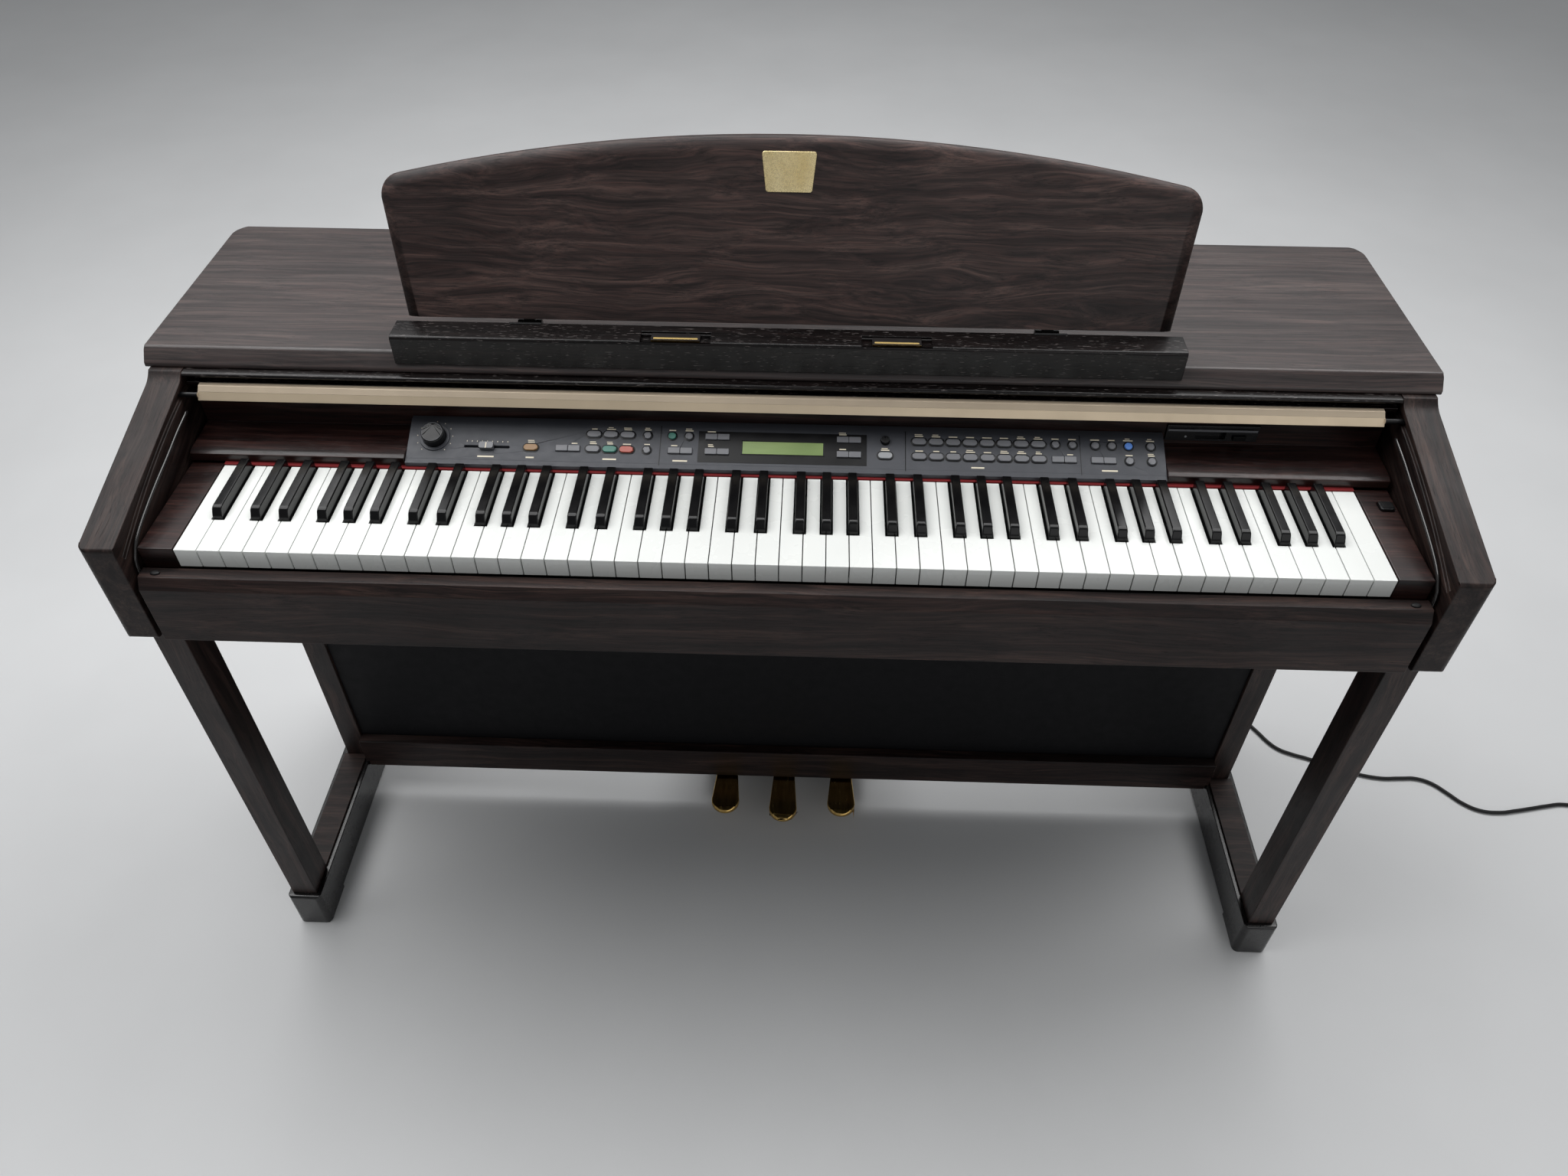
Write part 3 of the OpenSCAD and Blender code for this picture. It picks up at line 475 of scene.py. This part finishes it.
def coil_points():
    """Two flat layers of about two turns each, then the lead out to the plug."""
    low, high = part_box("cord_coil")
    middle = (low + high) / 2
    outer = (high.x - low.x) / 2 - CORD_D / 2
    inner = outer - CORD_D - 0.0001
    z_low = 0.00305
    z_high = z_low + CORD_D + 0.00015
    start, turned, stride = -116.6, 1136, 18

    def ease(angle, a, b):
        share = min(max((angle - a) / (b - a), 0), 1)
        return share * share * (3 - 2 * share)

    points = []
    for angle in range(stride, turned, stride):
        r = outer + (inner - outer) * (ease(angle, 300, 360) - ease(angle, 892, 950))
        z = z_low + (z_high - z_low) * ease(angle, 598, 656)
        turn = math.radians(start + angle)
        points.append((middle.x + r * math.cos(turn), middle.y + r * math.sin(turn), z))
    plug_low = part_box("cord_plug")[0]
    plug_x = plug_low.x + 0.011
    end = Vector(points[-1])
    points += [(end.x + 0.012, end.y + 0.0045, z_high),
               (plug_x - 0.011, plug_low.y - 0.016, z_high + 0.0003),
               (plug_x - 0.0025, plug_low.y - 0.0085, 0.0092), (plug_x, plug_low.y + 0.003, 0.0093)]
    return points


def make_cord():
    """One smooth line from the inlet through the coil to the plug."""
    points = route_points() + coil_points()
    curve = bpy.data.curves.new("power_cord_line", "CURVE")
    curve.dimensions = "3D"
    spline = curve.splines.new("BEZIER")
    spline.bezier_points.add(len(points) - 1)
    for point, place in zip(spline.bezier_points, points):
        point.co = place
        point.handle_left_type = point.handle_right_type = "AUTO"
    curve.resolution_u = 6
    curve.bevel_depth = CORD_D / 2
    curve.bevel_resolution = 3
    curve.use_fill_caps = True
    obj = bpy.data.objects.new("cord_line", curve)
    scene.collection.objects.link(obj)
    curve.materials.append(looks["rubber"].mat)
    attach(obj, "case")
    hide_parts("power_cord", "cord_coil")
    bpy.context.view_layer.update()
    return obj, points[0], spline.calc_length()


def make_plug():
    """A generic two-pin mains plug with a tapered strain relief."""
    low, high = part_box("cord_plug")
    body_high = low + Vector((0.022, 0.034, 0.018))
    bm = bmesh.new()
    centre_x, centre_z = (low.x + body_high.x) / 2, (low.z + body_high.z) / 2
    power = 0.55
    rings = []
    for share, wide, tall in ((0.0, 0.42, 0.5), (0.05, 0.5, 0.62), (0.22, 0.6, 0.72), (0.36, 0.8, 0.86),
                              (0.55, 1.0, 1.0), (0.9, 1.0, 1.0), (1.0, 0.93, 0.93)):
        y = low.y + 0.034 * share
        ring = []
        for k in range(28):
            a = 2 * math.pi * k / 28
            c, s = math.cos(a), math.sin(a)
            ring.append((centre_x + 0.011 * wide * math.copysign(abs(c) ** power, c), y,
                         centre_z + 0.009 * tall * math.copysign(abs(s) ** power, s)))
        rings.append(ring)
    bridge(bm, rings)
    plug = link("plug_body", to_mesh("plug_body", bm), "rubber", "case", bevel=0.0008)
    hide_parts("cord_plug")
    bm = bmesh.new()
    for side in (-1, 1):
        x = centre_x + side * 0.0055
        box_into(bm, (x - 0.0008, low.y + 0.033, centre_z - 0.0032),
                 (x + 0.0008, high.y - 0.001, centre_z + 0.0032))
    pins = link("plug_pins", to_mesh("plug_pins", bm), "steel", "case", bevel=0.0004)
    return [plug, pins]


cord_obj, cord_start, cord_length = make_cord()
plug_pieces = make_plug()


# ---- CAD nodes shown as they are ----

def paint(name, choose):
    """Give each face of a CAD node the slot that choose(centre, normal) returns."""
    for polygon in nodes[name].data.polygons:
        polygon.material_index = choose(polygon.center, polygon.normal)


carry("top_board", "board", 0.0012, 3, 25)
carry("key_slip", "slip", 0.0008, 2, 25)
foot_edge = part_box("foot_left")[1].z - 0.0039
for side in ("left", "right"):
    carry("side_arm_" + side, "arm", 0.0012, 3)
    carry("front_leg_" + side, "upright", 0.0012, 3)
    carry("side_board_" + side, "upright", 0.0012, 3)
    carry("cheek_block_" + side, "inner", 0.0012, 3)
    carry("foot_" + side, ["foot", "slip"], 0.0012, 3)
    paint("foot_" + side, lambda centre, normal: int(centre.z > foot_edge))
carry("lower_rail", "slip", 0.001, 3)
carry("back_panel", "black", 0.0008)
carry("pedal_box", "frame", 0.001)
carry("key_bed", "black", 0.0008)
carry("case_back", "black", 0.0008)
carry("name_board", "inner", 0.0008, 3, 25)
carry("cover_trim", "gloss", 0.0004, 2)
carry("media_drive", "drive", 0.0004)
carry("eject_key", "rim", 0.0006, 3)
carry("power_switch", "knob", 0.0009, 3)
carry("key_cover", "gloss", 0.0006, 2)
carry("cover_strip", ["champagne_painted_shade", "champagne_painted_light", "rim"], 0.0004, 2)
pin_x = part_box("name_board")[1].x - 0.0105
# Front facets of the cover strip get the lighter copy (painted light), its other facets the darker copy
# (painted shade); its ends are black.
paint("cover_strip", lambda centre, normal: 2 if abs(centre.x) > pin_x else int(normal.y < -0.8))
carry("music_ledge", "gloss", 0.0008, 3)
carry("desk_hinges", "clip_dark", 0.0005)
for side in ("left", "right"):
    clip_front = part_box("page_clip_" + side)[0].y
    carry("page_clip_" + side, ["clip_dark", "brass"], 0.0004, 3)
    paint("page_clip_" + side,
          lambda centre, normal: int(normal.y < -0.7 and centre.y < clip_front + 0.001))
carry("keyboard_frame", "steel", 0.0006)
carry("felt_strip", "felt", 0.0006, 3)
carry("power_inlet", "black", 0.0006)
carry("control_panel", "panel", 0.0004, 2)
carry("display_window", "display", 0.0002)
carry("contrast_knob", "knob", 0.0004)
carry("volume_knob", "knob", 0.0006, 3)
carry("balance_slider", "cap", 0.0005, 3)
for letter in "cdefgab":
    carry("keys_" + letter, "ivory", 0.0007, 3)
for place in ("left", "middle", "right"):
    carry("pedal_" + place, "brass", 0.0024, 4)


# ---- Control panel: its plane, colours, rims and marks ----

knob_place = Vector(joint("volume_knob_turn")["pos_m"])
PANEL_OUT = Vector(joint("volume_knob_turn")["axis"]).normalized()
PANEL_UP = Vector((0, PANEL_OUT.z, -PANEL_OUT.y))
KNOB_X, KNOB_V = -0.384, 0.032
SLIDER_X = -0.3255


def on_panel(x, v, h):
    """A point x across, v up the slope and h out of the control panel's face."""
    return knob_place + Vector((x - KNOB_X, 0, 0)) + PANEL_UP * (v - KNOB_V) + PANEL_OUT * h


def panel_at(point):
    """Across, up and out values of a point, measured on the control panel's face."""
    away = Vector(point) - knob_place
    return away.x + KNOB_X, away.dot(PANEL_UP) + KNOB_V, away.dot(PANEL_OUT)


PANEL_TURN = Matrix((Vector((1, 0, 0)), PANEL_UP, PANEL_OUT)).transposed().to_4x4()
PANEL_PLACE = Matrix.Translation(on_panel(0, 0, 0)) @ PANEL_TURN

# Across and up values of the coloured caps, and the number of the look in CAP_LOOKS.
CAP_LOOKS = ["cap", "cap_amber", "cap_green", "cap_red", "cap_blue", "cap_pale"]
CAP_COLOURS = [(-0.277, 0.022, 1), (-0.1905, 0.022, 2), (-0.172, 0.022, 3), (-0.123, 0.040, 2),
               (0.374, 0.040, 4), (0.110, 0.022, 5)]
SQUARE_CORNERS = 8


def cap_slot(centre, normal):
    """The number of the look for a face of a button cap."""
    x, v, _ = panel_at(centre)
    return next((slot for cx, cv, slot in CAP_COLOURS if abs(x - cx) < 0.0085 and abs(v - cv) < 0.006), 0)


panel_caps = []
for section in ("song", "tempo", "menu", "voice", "effect"):
    name = section + "_buttons"
    for island in islands(name):
        placed = [panel_at(p) for p in island]
        across, up = [p[0] for p in placed], [p[1] for p in placed]
        panel_caps.append(((min(across) + max(across)) / 2, (min(up) + max(up)) / 2,
                           max(across) - min(across), max(up) - min(up), len(island) <= SQUARE_CORNERS))
    carry(name, CAP_LOOKS, 0.0007, 4)
    paint(name, cap_slot)


def cap_ring(wide, tall, grow, count=32):
    """Outline round a cap with round ends."""
    radius = min(wide, tall) / 2 + grow
    straight = max(wide - tall, 0) / 2
    points = []
    for k in range(count):
        a = 2 * math.pi * (k + 0.5) / count
        points.append((math.copysign(straight, math.cos(a)) + radius * math.cos(a), radius * math.sin(a)))
    return points


def make_rims():
    """A thin dark ring round every cap with round ends."""
    bm = bmesh.new()
    for x, v, wide, tall, square in panel_caps:
        if square:
            continue
        inner, outer = cap_ring(wide, tall, 0.0003), cap_ring(wide, tall, 0.0017)
        rings = [[on_panel(x + a, v + b, h) for a, b in ring] for ring, h in
                 ((inner, -0.0004), (inner, 0.00045), (outer, 0.00020), (outer, -0.0001))]
        bridge(bm, rings, "joined")
    link("button_rims", to_mesh("button_rims", bm), "rim", "case", smooth=False)


def make_inset():
    """Black field around the display with a window for it, and thin black strips between the sections that
    stand for grooves as painted shade.
    """
    screen = [panel_at(c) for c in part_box("display_window")]
    centre = (screen[0][0] + screen[1][0]) / 2
    half = (screen[1][0] - screen[0][0]) / 2 + 0.0006
    low_v, high_v = 0.0282 - 0.0081, 0.0282 + 0.0081
    field_low, field_high, field_left, field_right = 0.009, 0.047, -0.094, 0.090
    sunk = -0.0001
    bm = bmesh.new()
    for x0, x1, v0, v1 in ((field_left, centre - half, field_low, field_high),
                           (centre + half, field_right, field_low, field_high),
                           (centre - half, centre + half, field_low, low_v),
                           (centre - half, centre + half, high_v, field_high)):
        box_into(bm, (x0, v0, sunk), (x1, v1, 0.00022), PANEL_PLACE)
    bmesh.ops.remove_doubles(bm, verts=bm.verts, dist=0.00001)
    # Thin black strips between the sections: painted shade where grooves would be.
    for x, wide in ((-0.1355, 0.0005), (0.132, 0.0005), (0.3215, 0.0004)):
        box_into(bm, (x - wide, 0.004, sunk), (x + wide, 0.0525, 0.00012), PANEL_PLACE)
    link("display_field", to_mesh("display_field", bm), "inset", "case", smooth=False)
    side, edge, rise = 0.001, 0.0009, 0.0006
    bm = bmesh.new()
    for v0, v1 in ((low_v - edge, low_v), (high_v, high_v + edge)):
        box_into(bm, (centre - half - side, v0, sunk), (centre + half + side, v1, rise), PANEL_PLACE)
    for x0, x1 in ((centre - half - side, centre - half), (centre + half, centre + half + side)):
        box_into(bm, (x0, low_v, sunk), (x1, high_v, rise), PANEL_PLACE)
    link("display_frame", to_mesh("display_frame", bm), "rim", "case", bevel=0.0002)


def make_marks():
    """Plain short dashes where a real panel has printed words."""
    bm = bmesh.new()

    def dash(x, v, wide, tall=0.0013):
        rise = 0.0001 if abs(x) > 0.1 else 0.0003
        box_into(bm, (x - wide / 2, v - tall / 2, -0.0001), (x + wide / 2, v + tall / 2, rise), PANEL_PLACE)

    for x, v, wide, tall, square in panel_caps:
        if square and round(x * 1000) % 2:
            continue
        above = v + tall / 2 + 0.0030
        dash(x, above, 0.0060 + 0.0045 * rng.random())
        if rng.random() < 0.4:
            dash(x - 0.0006, above + 0.0021, 0.0045 + 0.004 * rng.random(), 0.0010)
    for x, wide in ((SLIDER_X, 0.018), (-0.277, 0.009), (-0.19, 0.015), (-0.113, 0.016), (0.21, 0.014),
                    (0.352, 0.017)):
        dash(x, 0.0100, wide, 0.0018)
    for k in range(9):
        dash(SLIDER_X + (k - 4) * 0.0056, 0.0285, 0.0006, 0.0016)
    scale_radius = 0.0195
    for k in range(11):
        a = math.radians(-140 + 28 * k)
        dash(KNOB_X + scale_radius * math.sin(a), KNOB_V + scale_radius * math.cos(a), 0.0009, 0.0009)
    link("panel_marks", to_mesh("panel_marks", bm), "mark", "case", smooth=False)


def make_knob_details():
    """A pale ring on top of the volume knob and a line on the balance slider."""
    bm = bmesh.new()
    knob = nodes["volume_knob"]
    top = max(panel_at(knob.matrix_world @ v.co)[2] for v in knob.data.vertices)
    bridge(bm, [[on_panel(KNOB_X + a, KNOB_V + b, top + h) for a, b in circle(r, 48)]
                for r, h in ((0.0111, -0.0006), (0.0113, 0.0002), (0.0109, 0.0003), (0.0107, -0.0004))],
           "joined")
    link("volume_ring", to_mesh("volume_ring", bm), "cap", "volume_knob")
    bm = bmesh.new()
    slider_low, slider_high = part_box("balance_slider")
    x, v, _ = panel_at((slider_low + slider_high) / 2)
    box_into(bm, (x - 0.0006, v - 0.0035, 0.0047), (x + 0.0006, v + 0.0035, 0.0051), PANEL_PLACE)
    link("slider_line", to_mesh("slider_line", bm), "mark", "balance_slider", bevel=0.0001)


make_rims()
make_inset()
make_marks()
make_knob_details()


# ---- Black keys ----

def make_black_keys(name):
    """Tapered caps with a sloping front and soft top edges, one for each key in the group."""
    low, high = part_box(name)
    white_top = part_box("keys_c")[1].z
    edge, edge_steps = 0.0013, 6
    bm = bmesh.new()
    for island in islands(name):
        middle = (min(p.x for p in island) + max(p.x for p in island)) / 2
        half = (max(p.x for p in island) - min(p.x for p in island)) / 2
        front, rear = min(p.y for p in island), max(p.y for p in island)
        back_of_cap = max(p.y for p in island if p.z > white_top + 0.005)
        rings = []
        stations = ((front, white_top + 0.0012, 0.97), (front + 0.0012, white_top + 0.0044, 0.96),
                    (front + 0.0046, high.z - 0.0016, 0.95), (front + 0.0068, high.z - 0.0004, 0.955),
                    (front + 0.0100, high.z, 0.96), (back_of_cap, high.z, 0.96))
        for y, top, share in stations:
            wide = half * (1.0 if top < high.z - 0.002 else share)
            narrow = wide * 0.90
            ring = [(middle - wide, y, low.z)]
            for k in range(edge_steps):
                a = math.pi / 2 * k / (edge_steps - 1)
                ring.append((middle - narrow + edge - edge * math.cos(a), y, top - edge + edge * math.sin(a)))
            ring += [(2 * middle - x, y, z) for x, _, z in reversed(ring)]
            rings.append(ring)
        bridge(bm, rings)
        box_into(bm, (middle - half, back_of_cap - 0.0002, low.z), (middle + half, rear, white_top - 0.004))
    caps = name + "_caps"
    keys = link(caps, to_mesh(caps, bm), "ebony", name, bevel=0.0003, segments=2)
    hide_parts(name)


for letter in "cdfga":
    make_black_keys("keys_" + letter + "_sharp")


# ---- Music desk ----

hinge_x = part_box("desk_hinges")[1].x - 0.013
desk_faces = [p for p in nodes["music_desk"].data.polygons if p.normal.y < -0.5 and p.normal.z > 0.1]
DESK_NORMAL = max(desk_faces, key=lambda p: p.area).normal.copy()
DESK_UP = Vector((0, DESK_NORMAL.z, -DESK_NORMAL.y))


def make_desk():
    """The folding desk: a thick board with a wide soft edge along its top and sides."""
    outline = loops_facing("music_desk", DESK_NORMAL)[0]
    foot = min(outline, key=lambda p: p.z)
    origin = Vector((0, foot.y, foot.z))
    flat = [((p - origin).x, (p - origin).dot(DESK_UP)) for p in outline]
    thick = 0.018
    n = len(flat)
    if sum(ax * by - bx * ay for (ax, ay), (bx, by) in zip(flat, flat[1:] + flat[:1])) < 0:
        flat.reverse()

    def inset(amount):
        """The outline moved inward along its top and sides; the foot edge stays where it is."""
        moved = []
        for k in range(n):
            (ax, ay), (bx, by), (cx, cy) = flat[k - 1], flat[k], flat[(k + 1) % n]
            one = Vector((bx - ax, by - ay)).normalized()
            two = Vector((cx - bx, cy - by)).normalized()
            left = (Vector((-one.y, one.x)) + Vector((-two.y, two.x))).normalized()
            if by < 0.0005:
                moved.append((bx - math.copysign(amount, bx), by))
            else:
                moved.append((bx + left.x * amount, by + left.y * amount))
        return moved

    bm = bmesh.new()
    rings = []
    for amount, depth in ((0.0022, -thick), (0.0006, -thick + 0.0008), (0.0, -thick + 0.0026), (0.0, -0.0085),
                          (0.0007, -0.0062), (0.0026, -0.0041), (0.0055, -0.0024), (0.0088, -0.0011),
                          (0.0118, -0.0003), (0.0142, 0.0)):
        rings.append([origin + Vector((x, 0, 0)) + DESK_UP * v + DESK_NORMAL * depth
                      for x, v in inset(amount)])
    bridge(bm, rings)
    desk = link("desk_board", to_mesh("desk_board", bm), "desk", "music_desk")
    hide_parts("music_desk")
    return origin


def make_desk_fittings(origin):
    """Hinge knuckles on the pin at the foot of the desk, and a plain badge on its face."""
    bm = bmesh.new()
    axis = Vector(joint("music_desk_fold")["pos_m"])
    for sign in (-1, 1):
        x = sign * hinge_x
        profile = ((-0.0065, 0.0021), (-0.0065, 0.0040), (-0.006, 0.0045), (0.006, 0.0045),
                   (0.0065, 0.0040), (0.0065, 0.0021))
        bridge(bm, [[(x + dx, axis.y + a, axis.z + b) for a, b in circle(r, 24)] for dx, r in profile],
               "open")
        place = Matrix.Translation((x, axis.y, axis.z)) @ Matrix(
            (Vector((1, 0, 0)), -DESK_NORMAL, DESK_UP)).transposed().to_4x4()
        box_into(bm, (-0.006, -0.0045, 0.0035), (0.006, -0.0002, 0.014), place)
    link("desk_knuckles", to_mesh("desk_knuckles", bm), "clip_dark", "music_desk",
         bevel=0.0003)
    bm = bmesh.new()
    bottom, middle, top, low_half, high_half, r = 0.1345, 0.154, 0.1735, 0.0240, 0.027705, 0.0030
    crown = 0.0012 * (1 - (high_half / 0.034) ** 2)
    points = []
    for sx, sv, start in ((1, -1, -90), (1, 1, 0), (-1, 1, 90), (-1, -1, 180)):
        x, v, rise = (high_half, top, crown) if sv > 0 else (low_half, bottom, 0)
        for step in range(6):
            a = math.radians(start + 18 * step)
            points.append((sx * (x - r) + r * math.cos(a), v - sv * r + r * math.sin(a) + rise))
    bridge(bm, [[origin + Vector((x * k, 0, 0)) + DESK_UP * (middle + (v - middle) * k) + DESK_NORMAL * h
                 for x, v in points] for k, h in ((1.0, -0.0002), (1.0, 0.0005), (0.985, 0.0008))])
    link("desk_badge", to_mesh("desk_badge", bm), "badge", "music_desk", smooth=False)


desk_origin = make_desk()
make_desk_fittings(desk_origin)


# ---- Case fittings ----

def sweep(bm, points, radius, squash=1.0, count=10):
    """A smooth rod in the Y-Z plane through points, flattened across by squash."""
    path = [Vector(p) for p in points]
    smooth = []
    for k in range(len(path) - 1):
        a, b, c, d = path[max(k - 1, 0)], path[k], path[k + 1], path[min(k + 2, len(path) - 1)]
        for step in range(8):
            t = step / 8
            smooth.append(0.5 * (2 * b + (c - a) * t + (2 * a - 5 * b + 4 * c - d) * t ** 2
                                 + (3 * b - a - 3 * c + d) * t ** 3))
    smooth.append(path[-1])
    rings = []
    for k, here in enumerate(smooth):
        way = (smooth[min(k + 1, len(smooth) - 1)] - smooth[max(k - 1, 0)]).normalized()
        out = Vector((0, -way.z, way.y))
        rings.append([here + Vector((1, 0, 0)) * squash * a + out * b for a, b in circle(radius, count)])
    bridge(bm, rings)


def make_track_rails():
    """A dark rod inside each arm, along the way the key cover slides."""
    slip_side, arm_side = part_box("name_board")[1].x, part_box("side_arm_right")[0].x
    x = slip_side + (arm_side - slip_side) * 0.42
    lip_y, top_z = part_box("name_board")[0].y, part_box("keys_c")[1].z
    bm = bmesh.new()
    for side in (-1, 1):
        points = [(side * x, lip_y + dy, top_z + dz) for dy, dz in
                  ((0.030, 0.0455), (0.0, 0.040), (-0.035, 0.0315), (-0.071, 0.0235), (-0.108, 0.0135),
                   (-0.132, 0.0045), (-0.143, -0.0045), (-0.149, -0.014), (-0.151, -0.034))]
        sweep(bm, points, 0.0022, 0.7)
    link("track_rails", to_mesh("track_rails", bm), "track", "case")


def make_bumpers():
    """Two oval pads on the key slip where the closed cover rests."""
    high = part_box("key_slip")[1]
    profile = ((0.0050, -0.0002), (0.0050, 0.0010), (0.0042, 0.0018), (0.0022, 0.0021))
    bm = bmesh.new()
    for side in (-1, 1):
        x = side * (high.x - 0.016)
        bridge(bm, [[(x + a, high.y - 0.0085 + 0.62 * b, high.z + h) for a, b in circle(wide, 24)]
                    for wide, h in profile])
    link("cover_bumpers", to_mesh("cover_bumpers", bm), "rubber", "case")


def make_drive_details():
    """The drive's door and lamp, and the face of the power switch."""
    low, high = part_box("media_drive")
    bm = bmesh.new()
    box_into(bm, (low.x + 0.0015, low.y - 0.0006, low.z + 0.0125),
             (high.x - 0.0015, low.y + 0.0001, low.z + 0.0152))
    link("drive_door", to_mesh("drive_door", bm), "cap", "case", bevel=0.0002)
    bm = bmesh.new()
    bridge(bm, [[(low.x + 0.022 + a, low.y + dy, low.z + 0.0055 + b) for a, b in circle(r, 20)]
                for r, dy in ((0.0014, 0.0002), (0.0014, -0.0003), (0.0009, -0.0007), (0.0003, -0.0008))])
    link("drive_lamp", to_mesh("drive_lamp", bm), "cap_pale", "case")
    low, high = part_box("power_switch")
    bm = bmesh.new()
    box_into(bm, (low.x + 0.003, low.y + 0.0028, high.z - 0.0001),
             (high.x - 0.003, high.y - 0.0028, high.z + 0.0005))
    link("switch_face", to_mesh("switch_face", bm), "rim", "power_switch", bevel=0.0003)


def make_desk_pads():
    """Dark pads on the ledge in front of the hinges."""
    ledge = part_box("music_ledge")[1].z
    front, rear = desk_origin.y - 0.0085, desk_origin.y - 0.0055
    bm = bmesh.new()
    for side in (-1, 1):
        x = side * hinge_x
        box_into(bm, (x - 0.0175, front, ledge - 0.0002), (x + 0.0175, rear, ledge + 0.0009))
    link("desk_pads", to_mesh("desk_pads", bm), "rubber", "case", bevel=0.0004)


def make_clip_edges():
    """The gilt wire let into the top of each page clip near its free edge."""
    for side in ("left", "right"):
        low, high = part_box("page_clip_" + side)
        name = "clip_edge_" + side
        middle, half = (low.x + high.x) / 2, 0.0235
        bm = bmesh.new()
        box_into(bm, (middle - half, low.y + 0.0022, high.z - 0.0006),
                 (middle + half, low.y + 0.0050, high.z + 0.0003))
        link(name, to_mesh(name, bm), "gilt", "page_clip_" + side, bevel=0.0003)


make_track_rails()
make_bumpers()
make_drive_details()
make_desk_pads()
make_clip_edges()


# ---- Studio ----

def make_floor():
    """A pale floor, part of the stage and not of the piano."""
    look = Look("floor", (0.60, 0.605, 0.61), 0.55)
    cloud = look.noise(look.coords(), 1.4, 4.0, 0.6)
    look.shade("Base Color", look.ramp(cloud, (0.3, (0.575, 0.58, 0.585)), (0.7, (0.625, 0.63, 0.635))))
    far, level = 14, -0.0005
    mesh = bpy.data.meshes.new("floor")
    mesh.from_pydata([(-far, -far, level), (far, -far, level), (far, far, level), (-far, far, level)], [],
                     [(0, 1, 2, 3)])
    floor = bpy.data.objects.new("floor", mesh)
    scene.collection.objects.link(floor)
    floor.data.materials.append(look.mat)


def area_light(name, place, aim, size, power):
    """A rectangular light at a place, turned towards a point."""
    lamp = bpy.data.lights.new(name, "AREA")
    lamp.shape = "RECTANGLE"
    lamp.size, lamp.size_y = size
    lamp.energy = power
    obj = bpy.data.objects.new(name, lamp)
    obj.location = place
    obj.rotation_mode = "QUATERNION"
    obj.rotation_quaternion = (Vector(aim) - Vector(place)).to_track_quat("-Z", "Y")
    scene.collection.objects.link(obj)


make_floor()
area_light("key_light", (-1.2, 0.5, 3.1), (0, 0.1, 0.6), (3.0, 2.2), 84)
area_light("over_light", (1.1, 1.0, 3.0), (0, 0.1, 0.6), (2.6, 1.8), 58)
area_light("fill_light", (1.2, -2.6, 1.9), (0, -0.1, 0.6), (2.2, 1.4), 9)
world = bpy.data.worlds.new("studio")
scene.world = world
world.use_nodes = True
world.node_tree.nodes["Background"].inputs[0].default_value = (0.86, 0.88, 0.90, 1)
world.node_tree.nodes["Background"].inputs[1].default_value = 0.26
scene.view_settings.view_transform = "Standard"
